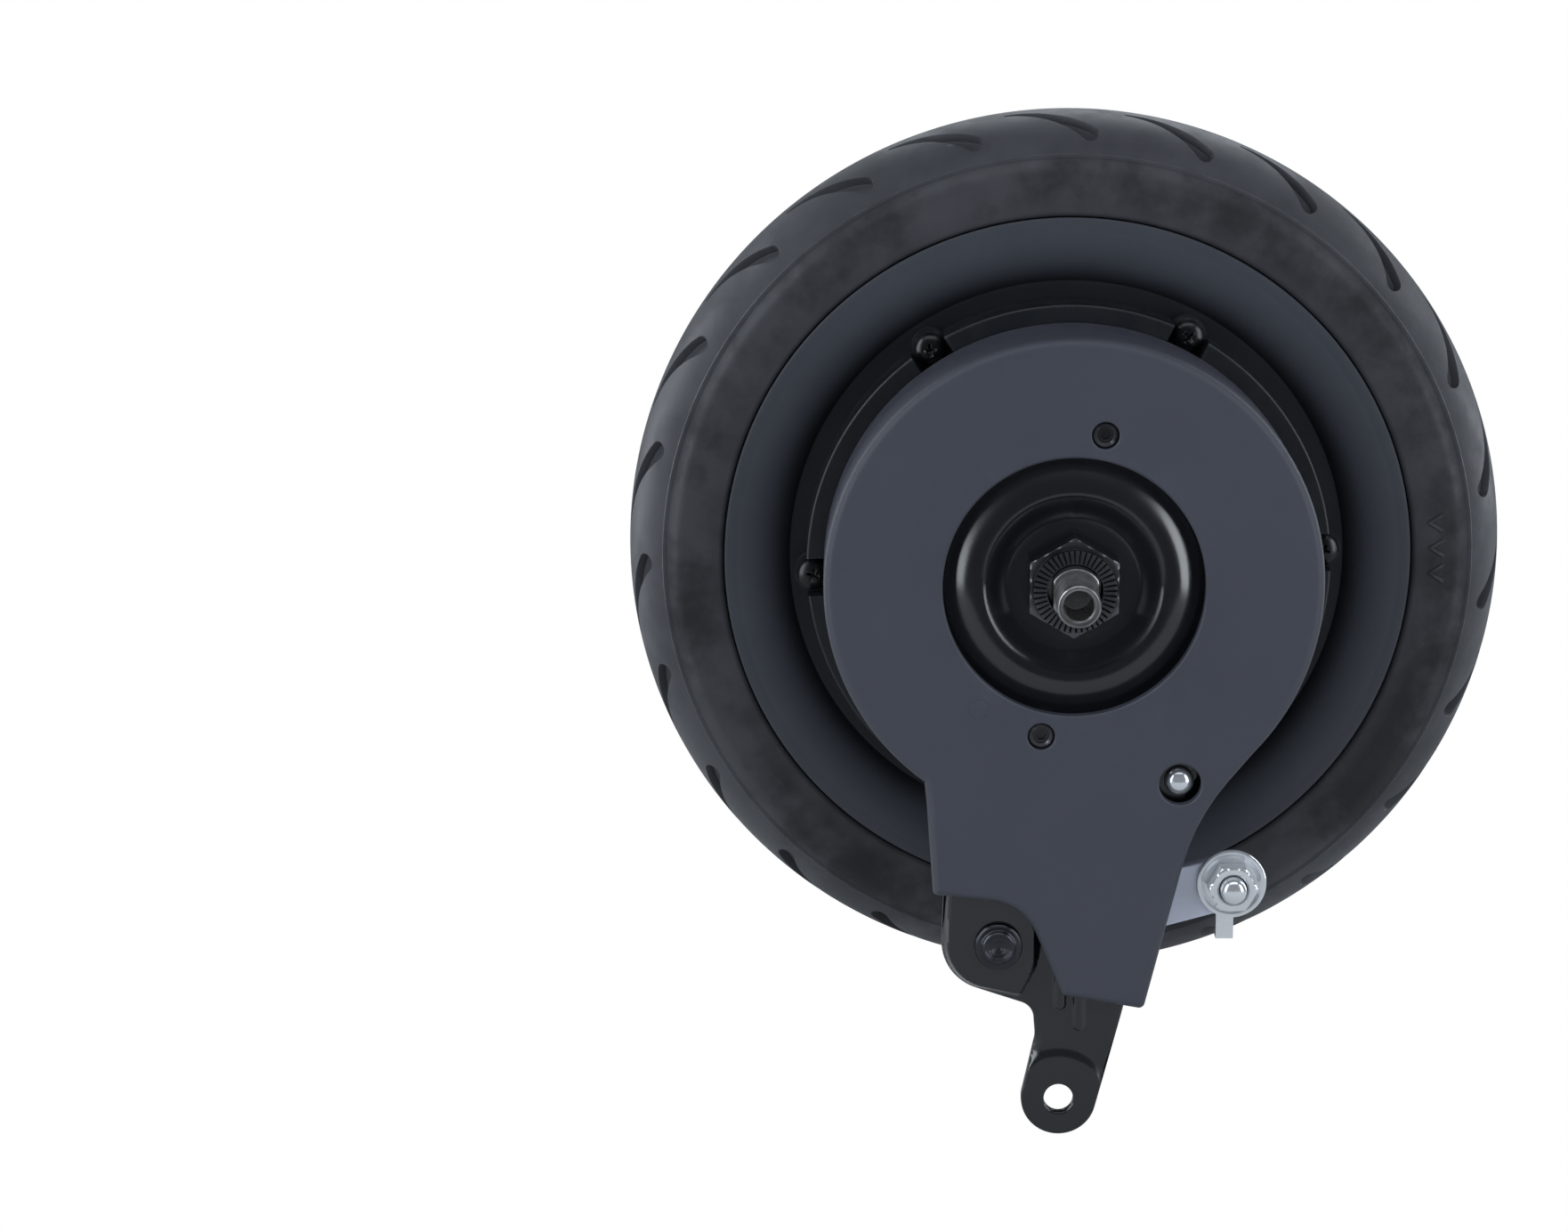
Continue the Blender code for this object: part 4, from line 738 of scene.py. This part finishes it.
def shellCorners():
    tail = [(28.5, -54.0, 50.0), (17.4, -99.3, 1.4), (-1.2, -96.2, 1.4), (-10.5, -74.5, 13.0)]
    tail += [(-31.2, -72.2, 1.2), (-32.7, -52.0, 0.0)]
    return sharp(arcPoints((0.0, 0.0), 56.5, 233.8, -43.0, 2.5)) + tail


def frontHole(centre, radius, end, lip, steps=64):  # a hole with a broken edge at the front
    front = shell["front"]
    rows = [(front - 1.0, radius + lip), (front, radius + lip), (front + lip * 0.5, radius + lip * 0.15)]
    return steppedBar(rows + [(front + lip, radius), (end, radius)], centre, steps)


corners = shellCorners()
stations = [(shell["front"], shell["fillet"] + 0.25)]
for a in np.linspace(8.0, 90.0, 8):  # the rounded front edge
    bend = 1 - cos(radians(a)), 1 - sin(radians(a))
    stations.append((shell["front"] + shell["fillet"] * bend[0], shell["fillet"] * bend[1]))
stations.append((shell["back"], 0.0))
outlines = [(y, rounded(inset(corners, amount), 5.0)) for y, amount in stations]
shellPiece = toObject("brakeCoverShell", stack(outlines))
hollow = rounded(inset(corners, shell["wall"]), 5.0)
combine(shellPiece, prism(hollow, shell["inner"], shell["back"] + 2.0))
combine(shellPiece, block((-80.0, shell["inner"], -120.0), (80.0, shell["back"] + 4.0, shell["skirtEnd"])))
for spot in shell["screws"]:
    combine(shellPiece, bar(shell["boss"], shell["bossEnd"], shell["inner"] - 0.8, spot), "UNION")
combine(shellPiece, frontHole((0.0, 0.0), shell["hole"], shell["through"], 0.5, 180))
combine(shellPiece, frontHole(shell["window"][:2], shell["window"][2], shell["through"], 0.35))
seat = shell["front"] + shell["counterDepth"]
for spot in shell["screws"]:
    combine(shellPiece, frontHole(spot, shell["counterbore"], seat, 0.3))
    combine(shellPiece, bar(shell["bore"], seat - 0.5, -47.0, spot, 32))
spot, r = shell["mark"][:2], shell["mark"][2]
ringMark = toObject("ringMark", bar(r, shell["front"] - 0.5, shell["front"] + 0.06, spot))
combine(ringMark, bar(r - 0.28, shell["front"] - 1.0, shell["front"] + 0.5, spot))
combine(shellPiece, ringMark)
smoothShade(shellPiece, 28.0)
addPiece(shellPiece, "axle_and_brake", "shell_plastic", finishOf("shellPlastic", shell["look"]), "brake_cover")
print("stage: brake cover", len(shellPiece.data.polygons))


# the two screws sunk in the cover: dark rim, thin pale ring and a flat hollow middle
sunk = {
    "radius": 2.85, "seat": -50.1, "height": 1.35, "hollow": 1.75, "depth": 0.75,
    "look": {
        "base": (0.035, 0.036, 0.040), "second": (0.060, 0.060, 0.066), "roughness": (0.28, 0.36), "metallic": 0.7,
        "edge": ((0.40, 0.41, 0.43), 0.5), "bump": 0.06,
    },
}
sunkFinish = finishOf("sunkScrew", sunk["look"])
for name, (x, z) in zip(("upper", "lower"), shell["screws"]):
    r, h, d, hollow = sunk["radius"], sunk["height"], sunk["depth"], sunk["hollow"]
    profile = [(0.0, -h + d), (hollow, -h + d), (hollow + 0.08, -h + 0.15), (hollow + 0.25, -h), (r - 0.6, -h)]
    profile += [(r - 0.2, -h + 0.12), (r, -h + 0.4), (r, 0.0), (1.5, 0.0), (1.5, 4.2), (0.0, 4.2)]
    piece = turned("coverScrew" + name.capitalize(), profile, 48)
    combine(piece, prism([polar(1.25, a) for a in ringAngles(6, 8.0)], -h - 0.5, -h + d + 0.7))
    smoothShade(shifted(piece, x, sunk["seat"], z))
    addPiece(piece, "axle_and_brake", "screw_black", sunkFinish, "cover_screw_" + name)


# pressed steel plate: dish, pivot lobe, ribbed shank and eye, as one sheet with two faces
plate = {
    "front": -48.2, "back": -45.7, "disc": 50.0, "pivot": (-16.1, -84.6), "eye": (-1.7, -122.0), "eyeRadius": 8.7,
    "eyeHole": 3.4, "eyePad": 9.6, "shankDrop": 0.5, "ribHalf": 1.7, "ribRise": 0.85, "lobeRise": 1.5,
    "ribs": ((2.7, -105.9, -66.0), (-1.7, -100.9, -66.0)),
    "look": {
        "base": (0.0055, 0.0058, 0.0075), "second": (0.008, 0.0084, 0.0105), "roughness": (0.17, 0.23),
        "specular": 0.55, "blotch": (30.0, 0.3), "coat": 0.35, "coatRoughness": 0.14, "bump": 0.05,
        "grain": (1400.0, 0.5),
    },
}
dishCurve = [(0.0, -46.8)]
for t in np.linspace(0.0, 1.0, 11):  # inner flank, then the outer one
    dishCurve.append((14.6 + 6.8 * t, -46.8 - 3.8 * t * t * (3.0 - 2.0 * t)))
for t in np.linspace(0.0, 1.0, 11):
    dishCurve.append((22.2 + 7.6 * t, -50.6 + 2.4 * t * t * (3.0 - 2.0 * t)))
dishCurve.append((60.0, -48.2))


def plateOutline():
    px, pz = plate["pivot"]
    neckRight = [(26.2, -53.0, 12.0), (17.0, -82.0, 30.0), (12.9, -100.8, 0.0)]
    eyeEnd = arcPoints(plate["eye"], plate["eyeRadius"], -14.0, -197.5, 6.0)
    shankLeft = [(-7.3, -107.0, 6.0), (-7.9, -100.0, 4.0)]
    lobe = arcPoints((px - 1.3, pz), 11.7, -107.0, -180.0, 5.0)
    top = arcPoints((0.0, 0.0), plate["disc"], 232.0, -44.0, 3.0)
    corners = neckRight + sharp(eyeEnd) + shankLeft + sharp(lobe) + [(-28.4, -52.0, 4.0)] + sharp(top)
    return rounded(corners, 5.0)


def lobePad():
    px, pz = plate["pivot"]
    pad = [(px - 12.2, -66.5, 2.0), (px + 9.0, -66.5, 3.0), (px + 9.4, pz - 5.0, 12.0), (px + 5.5, pz - 13.0, 2.0)]
    return rounded(pad + sharp(arcPoints((px - 1.3, pz), 11.3, -107.0, -180.0, 5.0)), 6.0)


def edgeDistance(points, outline):  # signed distance of (n, 2) points to a closed outline, positive inside
    a = np.array(outline)
    b = np.roll(a, -1, axis=0)
    best = np.full(len(points), 1e9)
    inside = np.zeros(len(points), bool)
    for (ax, az), (bx, bz) in zip(a, b):
        run = np.array((bx - ax, bz - az))
        away = points - (ax, az)
        share = np.clip((away @ run) / max(1e-12, run @ run), 0.0, 1.0)
        best = np.minimum(best, np.hypot(*(away - share[:, None] * run).T))
        spans = (az > points[:, 1]) != (bz > points[:, 1])
        inside ^= spans & (points[:, 0] < (bx - ax) * (points[:, 1] - az) / (bz - az + 1e-12) + ax)
    return np.where(inside, best, -best)


def step01(value, low, high):
    share = np.clip((value - low) / (high - low), 0.0, 1.0)
    return share * share * (3.0 - 2.0 * share)


def away(points, x, z):
    return np.hypot(points[:, 0] - x, points[:, 1] - z)


def dishHeight(points):
    return np.interp(away(points, 0.0, 0.0), [p[0] for p in dishCurve], [p[1] for p in dishCurve])


def plateFront(points):  # y of the front face at (x, z) points
    y = dishHeight(points)
    outline = edgeDistance(points, plateOutline())
    fromEye = away(points, *plate["eye"])
    shank = step01(fromEye, plate["eyePad"], plate["eyePad"] + 3.0) * step01(-points[:, 1], 66.0, 70.0)
    y = y + shank * (plate["shankDrop"] + 0.75 * (1.0 - step01(outline, 0.0, 2.4)))
    for x, low, high in plate["ribs"]:
        fromRib = away(points, x, np.clip(points[:, 1], low + plate["ribHalf"], high))
        rise = (plate["ribRise"] + 0.35) * (1.0 - step01(fromRib, 0.5, plate["ribHalf"] + 0.1))
        y = y - rise * step01(-points[:, 1], 66.0, 72.0)
    pad = step01(edgeDistance(points, lobePad()), -0.1, 1.3)
    y = y * (1.0 - pad) + (plate["front"] - plate["lobeRise"]) * pad
    rim = np.clip(1.0 - outline / 0.55, 0.0, 1.0)
    hole = np.clip(1.0 - (fromEye - plate["eyeHole"]) / 0.5, 0.0, 1.0)
    return y + 0.45 * (1.0 - np.sqrt(1.0 - rim * rim)) + 0.35 * (1.0 - np.sqrt(1.0 - hole * hole))


def plateBack(points):
    return np.maximum(dishHeight(points) + 2.5, plate["back"] - 2.4)


def plateSheet():
    outline = plateOutline()
    holes = [((0.0, 0.0), 6.3, 72), (plate["eye"], plate["eyeHole"], 48), (plate["pivot"], 4.3, 48)]
    holes += [(shell["window"][:2], 3.1, 36)] + [(spot, shell["bore"], 24) for spot in shell["screws"]]
    points, edges = [], []

    def addLoop(loop):
        start = len(points)
        points.extend(loop)
        edges.extend((start + i, start + (i + 1) % len(loop)) for i in range(len(loop)))

    addLoop(outline)
    for centre, r, count in holes:
        addLoop(circle(centre, r, count))
    extra = []
    for depth in (0.12, 0.30, 0.55, 1.0, 1.7, 2.4):  # rows along the edge, the deeper ones on the arm only
        extra += [p for p in rounded(inset(sharp(outline), depth), 5.0) if depth < 1.2 or p[1] < -64.0]
    for r in list(np.arange(7.0, 15.0, 2.0)) + list(np.arange(14.6, 30.2, 0.55)) + [34.0, 39.0, 44.0]:
        extra += circle((0.0, 0.0), r, int(min(180, max(72, r * 7))))
    for centre, r, count in holes[1:3]:
        for grow in (0.1, 0.22, 0.5, 0.9):
            extra += circle(centre, r + grow, count)
    for x in np.arange(-30.0, 22.0, 0.5):
        extra += [(x + 0.013, z + 0.017) for z in np.arange(-131.0, -62.0, 0.5)]
    found = np.array(extra)
    keep = edgeDistance(found, outline) > 0.06
    for centre, r, count in holes:
        keep &= away(found, *centre) > r + 0.06
    cells = {}
    for x, z in found[keep]:  # thin out points that fall almost together
        cells.setdefault((round(x / 0.16), round(z / 0.16)), (float(x), float(z)))
    points.extend(cells.values())
    flat, _, faces, _, _, _ = delaunay_2d_cdt([Vector(p) for p in points], edges, [], 0, 1e-4)
    flat = np.array([tuple(p) for p in flat])
    middles = np.array([flat[list(face)].mean(axis=0) for face in faces])
    keep = edgeDistance(middles, outline) > 0.0
    for centre, r, count in holes:
        keep &= away(middles, *centre) > r * cos(pi / count) - 1e-3
    bm = bmesh.new()
    upper = [bm.verts.new((x, y, z)) for (x, z), y in zip(flat, plateFront(flat))]
    lower = [bm.verts.new((x, y, z)) for (x, z), y in zip(flat, plateBack(flat))]
    borders = {}
    for face in (face for face, good in zip(faces, keep) if good):
        bm.faces.new([upper[i] for i in face])
        bm.faces.new([lower[i] for i in reversed(face)])
        for i, j in zip(face, face[1:] + face[:1]):
            borders[frozenset((i, j))] = (i, j) if frozenset((i, j)) not in borders else None
    for pair in borders.values():
        if pair:
            i, j = pair
            bm.faces.new((upper[j], upper[i], lower[i], lower[j]))
    for vert in [v for v in bm.verts if not v.link_faces]:
        bm.verts.remove(vert)
    return toObject("brakePlate", bm)


platePiece = smoothShade(plateSheet(), 50.0, weighted=False)
addPiece(platePiece, "axle_and_brake", "black_press", finishOf("pressedBlack", plate["look"]), "brake_plate")
print("stage: plate", len(platePiece.data.polygons))


# bright zinc lever with its cable pinch bolt, tab washer and hex nut
lever = {
    "pivot": (-16.1, -84.6), "bolt": (37.4, -70.6), "pivotRadius": 7.0, "boltRadius": 6.2, "pinArm": 12.8,
    "edges": ((-45.4, 0.45), (-45.3, 0.18), (-45.1, 0.03), (-44.9, 0.0), (-42.3, 0.0), (-42.05, 0.1), (-41.9, 0.4)),
    "look": {
        "base": (0.58, 0.62, 0.76), "second": (0.66, 0.69, 0.80), "roughness": (0.34, 0.44), "metallic": 0.6,
        "blotch": (70.0, 0.2), "grain": (2200.0, 0.8), "bump": 0.08,
        "edge": ((0.75, 0.76, 0.80), 0.35),
    },
}
zincLook = {
    "base": (0.72, 0.75, 0.79), "second": (0.80, 0.82, 0.85), "roughness": (0.14, 0.22), "metallic": 0.75,
    "blotch": (120.0, 0.25), "grain": (2600.0, 0.8), "bump": 0.04,
    "edge": ((0.85, 0.86, 0.88), 0.35),
}


def leverOutline():
    start, end = Vector(lever["pivot"]), Vector(lever["bolt"])
    run = end - start
    heading = degrees(atan2(run.y, run.x))
    side = 90.0 - degrees(asin((lever["pivotRadius"] - lever["boltRadius"]) / run.length))
    head = arcPoints(end, lever["boltRadius"], heading + side, heading - side, 6.0)
    return head + arcPoints(start, lever["pivotRadius"], heading - side, heading - 360.0 + side, 6.0)


corners = sharp(leverOutline())
leverPiece = toObject("brakeLever", stack([(y, rounded(inset(corners, d))) for y, d in lever["edges"]]))
reach = (Vector(lever["bolt"]) - Vector(lever["pivot"])).normalized() * lever["pinArm"]
pinSpot = Vector(lever["pivot"]) + reach
for spot, r in ((lever["pivot"], 4.3), (pinSpot, 3.1), (lever["bolt"], 3.3)):
    combine(leverPiece, bar(r, -47.0, -40.0, spot))
addPiece(smoothShade(leverPiece), "lever", "zinc_steel", finishOf("leverZinc", lever["look"]), "brake_lever")
zincFinish = finishOf("brightZinc", zincLook)


def hexBar(flats, phase, front, back, chamfer=0.5, steps=96):  # a hexagon whose front corners are turned off
    reach = flats / sqrt(3.0)
    rows = []
    for y, limit in (
        (front, flats / 2 - 0.15), (front + chamfer * 0.5, (flats / 2 + reach) / 2), (front + chamfer, reach + 1.0),
        (back, reach + 1.0),
    ):
        row = []
        for a in ringAngles(steps, phase):
            off = (a - phase) % 60.0 - 30.0
            row.append(polar(min(flats / 2 / cos(radians(off)), limit), a))
        rows.append((y, row))
    return stack(rows)


pinch = {
    "flats": 10.0, "nutFront": -51.9, "nutBack": -46.9, "bore": 3.3, "thread": 2.95, "behind": -41.6,
    "headBack": -37.6, "headPhase": 12.0, "cable": 1.1, "tab": (-3.4, 0.6, -13.0), "tabEdge": 0.00022,
}


def addPinchPiece(thing, node):
    bx, bz = lever["bolt"]
    addPiece(smoothShade(shifted(thing, bx, 0.0, bz)), "lever", "zinc_steel", zincFinish, node)


nutPiece = toObject("pinchNut", hexBar(pinch["flats"], 0.0, pinch["nutFront"], pinch["nutBack"]))
combine(nutPiece, steppedBar(((-53.0, 4.4), (-51.9, 3.75), (-51.3, pinch["bore"]), (-46.0, pinch["bore"]))))
addPinchPiece(nutPiece, "pinch_nut")

boltProfile = [(0.0, -54.5), (1.2, -54.44), (2.0, -54.2), (2.6, -53.75), (2.9, -53.2)]
for i in range(9):  # thread crests that show in front of the nut
    y = -53.0 + i * 0.5
    boltProfile += [(pinch["thread"], y), (pinch["thread"] - 0.23, y + 0.25)]
boltProfile += [(pinch["thread"], -48.4), (pinch["thread"], -41.0), (0.0, -41.0)]
boltPiece = turned("pinchBolt", boltProfile, 48)
head = toObject("boltHead", hexBar(pinch["flats"], pinch["headPhase"], -pinch["headBack"], -pinch["behind"]))
head.data.transform(Matrix.Diagonal((1.0, -1.0, 1.0, 1.0)))
head.data.flip_normals()
combine(boltPiece, head, "UNION")
combine(boltPiece, crossBar(pinch["cable"], 10.0, 32, (pinch["behind"] + pinch["headBack"]) / 2, 0.0))
addPinchPiece(boltPiece, "pinch_bolt")

washerProfile = [(3.35, -45.75), (7.85, -45.75), (8.0, -45.9), (8.0, -46.55), (7.85, -46.8), (7.5, -46.9)]
washerProfile += [(6.9, -46.85), (6.3, -46.65), (5.8, -46.6), (3.35, -46.6)]
washerPiece = turned("tabWasher", washerProfile, 72)
lowX, highX, lowZ = pinch["tab"]
combine(washerPiece, block((lowX, -46.7, lowZ), (highX, -45.9, -5.0)), "UNION")
combine(washerPiece, block((lowX, -46.0, lowZ), (highX, -41.75, lowZ + 0.9)), "UNION")
step = washerPiece.modifiers.new("soften", "BEVEL")
step.width = pinch["tabEdge"]
step.segments = 2
step.limit_method = "ANGLE"
step.angle_limit = radians(50.0)
addPinchPiece(bakeMesh(washerPiece), "tab_washer")


# pivot pin with a stepped, turned head, and the domed rivet that holds the band
pinLook = {
    "base": (0.05, 0.052, 0.058), "second": (0.06, 0.062, 0.07), "roughness": (0.14, 0.18), "metallic": 1.0,
    "lines": (5000.0, (-0.0161, 0.0, -0.0846)), "bump": 0.9, "grainShare": 0.0,
    "edge": ((0.25, 0.25, 0.27), 0.3),
}
px, pz = lever["pivot"]
pinProfile = [(0.0, -51.35), (0.5, -51.42), (2.9, -51.95), (3.4, -52.0), (3.75, -51.8), (3.85, -51.4), (4.15, -51.2)]
pinProfile += [(4.9, -51.2), (5.3, -51.05), (5.5, -50.7), (5.5, -50.0), (4.0, -50.0), (4.0, -41.6), (3.2, -41.6)]
pinProfile += [(3.2, -40.4), (4.0, -40.4), (4.0, -39.4), (3.7, -39.3), (0.0, -39.3)]
pinPiece = smoothShade(shifted(turned("leverPivotPin", pinProfile, 72), px, 0.0, pz))
addPiece(pinPiece, "axle_and_brake", "screw_black", finishOf("pinBlack", pinLook), "lever_pivot_pin")

domeProfile = [(3.4 * sin(radians(t)), -48.5 - 2.55 * cos(radians(t))) for t in np.linspace(0.0, 86.0, 16)]
domeProfile += [(3.4, -48.5), (2.8, -48.5), (2.8, -28.6), (2.5, -28.4), (0.0, -28.4)]
domeX, domeZ = shell["window"][:2]
domePiece = smoothShade(shifted(turned("bandAnchorPin", domeProfile, 60), domeX, 0.0, domeZ))
addPiece(domePiece, "axle_and_brake", "zinc_steel", zincFinish, "band_anchor_pin")
print("stage: lever, pinch bolt and pins")


# axle with its hollow threaded tip, and the serrated nuts
axleLook = {
    "base": (0.24, 0.235, 0.235), "second": (0.34, 0.33, 0.33), "roughness": (0.22, 0.36), "metallic": 1.0,
    "lines": (7000.0,), "bump": 0.15, "grainShare": 0.3, "edge": ((0.45, 0.45, 0.46), 0.4),
}
tipThread = []
for i in range(18):
    y = -71.9 + i * 0.65
    tipThread += [(5.0, y), (4.72, y + 0.32)]
axleProfile = [(0.0, -58.5), (3.3, -59.7), (3.3, -72.0), (3.7, -72.42), (4.0, -72.5), (4.5, -72.5), (4.8, -72.3)]
axleProfile += tipThread + [(4.7, -60.2), (4.7, -59.8), (5.5, -59.8), (5.85, -59.6), (6.0, -59.2), (6.0, -24.4)]
axleProfile += [(7.2, -24.4), (7.2, -15.1), (9.0, -15.1), (9.0, 15.1), (7.2, 15.1), (7.2, 24.4), (6.0, 24.4)]
axleProfile += [(6.0, 57.4), (5.75, 57.8), (5.4, 58.0), (4.0, 58.0), (3.6, 57.8), (3.4, 57.4), (3.4, 11.5), (0.0, 9.9)]
axlePiece = turned("axleBody", axleProfile, 72)
for low, high in ((-8.0, -5.0), (5.0, 8.0)):  # two flats at each end
    for near, far in ((-60.2, -51.7), (35.3, 59.0)):
        combine(axlePiece, block((low, near, -10.0), (high, far, 10.0)))
combine(axlePiece, crossBar(2.0, 9.0, 32, 12.5, 9.0))  # the cable's way out of the hollow end
addPiece(smoothShade(axlePiece), "axle_and_brake", "axle_steel", finishOf("axleSteel", axleLook), "axle")

nut = {
    "flats": 20.0, "collar": 9.5, "teeth": 44, "toothDepth": 0.5, "bore": 6.3,
    "look": {
        "base": (0.09, 0.092, 0.10), "second": (0.13, 0.13, 0.14), "roughness": (0.28, 0.36), "metallic": 1.0,
        "edge": ((0.13, 0.13, 0.14), 0.30), "bump": 0.06,
    },
}
nutFinish = finishOf("nutBlack", nut["look"])


def axleNut(name, seat, turnedOver):  # built facing -Y, then turned over for the motor side
    width, deep, reach = nut["collar"], nut["toothDepth"], nut["collar"] + 0.6
    hexagon = toObject(name, hexBar(nut["flats"], 30.0, -seat + 3.5, -seat + 9.6, 0.4))
    collar = [(5.0, 7.0), (width - 0.3, 7.0), (width, 4.2), (width, 0.45), (width - 0.15, 0.1), (width - 0.5, 0.0)]
    collar = [(r, -seat + y) for r, y in collar + [(6.6, 0.0), (5.0, 0.0)]]
    combine(hexagon, turned("collar", collar, 176), "UNION")
    half = pi / nut["teeth"] * 0.48
    tooth = []
    for r, y in ((6.5, deep * 0.75), (reach, deep)):
        wide = half * r * 1.5
        tooth.append([(r, -seat + y, 0.0), (r, -seat - 0.3, wide), (r, -seat - 0.3, -wide)])
    combine(hexagon, ringOf("serrations", loft(tooth), nut["teeth"], 1.5))
    combine(hexagon, bar(nut["bore"], -seat - 2.0, -seat + 11.0, steps=72))
    if turnedOver:
        hexagon.data.transform(Matrix.Rotation(pi, 4, "Z"))
    return smoothShade(hexagon, 25.0)


addPiece(axleNut("brakeSideNut", 56.7, False), "axle_and_brake", "nut_black", nutFinish, "brake_side_nut")
addPiece(axleNut("motorSideNut", 43.3, True), "axle_and_brake", "nut_black", nutFinish, "motor_side_nut")


# turned drum inside the brake cover
drumLook = {
    "base": (0.20, 0.195, 0.19), "second": (0.30, 0.29, 0.28), "roughness": (0.28, 0.42), "metallic": 1.0,
    "lines": (6000.0,), "bump": 0.2, "grainShare": 0.3, "dust": ((0.10, 0.08, 0.06), 0.4),
}
drumProfile = [(44.6, -19.8), (45.0, -20.2), (45.0, -41.6), (44.6, -42.0), (41.9, -42.0), (41.5, -41.6)]
drumProfile += [(41.5, -23.6), (40.8, -22.8), (22.4, -22.8), (22.0, -22.4), (22.0, -19.8)]
drumPiece = turned("brakeDrum", drumProfile, 144)
for a in ringAngles(4, 45.0):
    combine(drumPiece, bar(2.3, -26.0, -17.0, polar(30.0, a), 36))
addPiece(smoothShade(drumPiece), "wheel", "drum_steel", finishOf("drumSteel", drumLook), "brake_drum")
print("stage: axle, nuts and drum")


# CAD pieces that stay as they are get a finish of their own
keptLooks = {  # two tones, roughness, metallic
    "drum_steel": ((0.28, 0.28, 0.28), (0.36, 0.35, 0.34), (0.25, 0.40), 1.0),
    "bearing_steel": ((0.52, 0.52, 0.53), (0.62, 0.62, 0.63), (0.12, 0.20), 1.0),
    "core_steel": ((0.24, 0.24, 0.25), (0.34, 0.33, 0.32), (0.40, 0.55), 1.0),
    "magnet_nickel": ((0.38, 0.38, 0.39), (0.46, 0.46, 0.46), (0.20, 0.32), 1.0),
    "copper_wire": ((0.42, 0.14, 0.04), (0.55, 0.22, 0.08), (0.28, 0.42), 1.0),
    "cast_aluminium": ((0.50, 0.51, 0.52), (0.58, 0.58, 0.59), (0.42, 0.56), 1.0),
    "board_green": ((0.01, 0.10, 0.03), (0.02, 0.15, 0.05), (0.28, 0.38), 0.0),
    "seal_rubber": ((0.012, 0.012, 0.013), (0.022, 0.022, 0.023), (0.45, 0.60), 0.0),
    "lining_fibre": ((0.11, 0.08, 0.05), (0.19, 0.15, 0.10), (0.80, 0.95), 0.0),
}
keptFinishes = {}
for key, row in keptLooks.items():
    keptFinishes[key] = finishOf("kept_" + key, dict(zip(("base", "second", "roughness", "metallic"), row)))
slotOf = {piece["node"]: piece["material_slot"] for piece in frame["record"]["subparts"]}
for name, thing in nodes.items():
    if slotOf.get(name) in keptFinishes:
        paint(thing, keptFinishes[slotOf[name]])

print("stage: done")
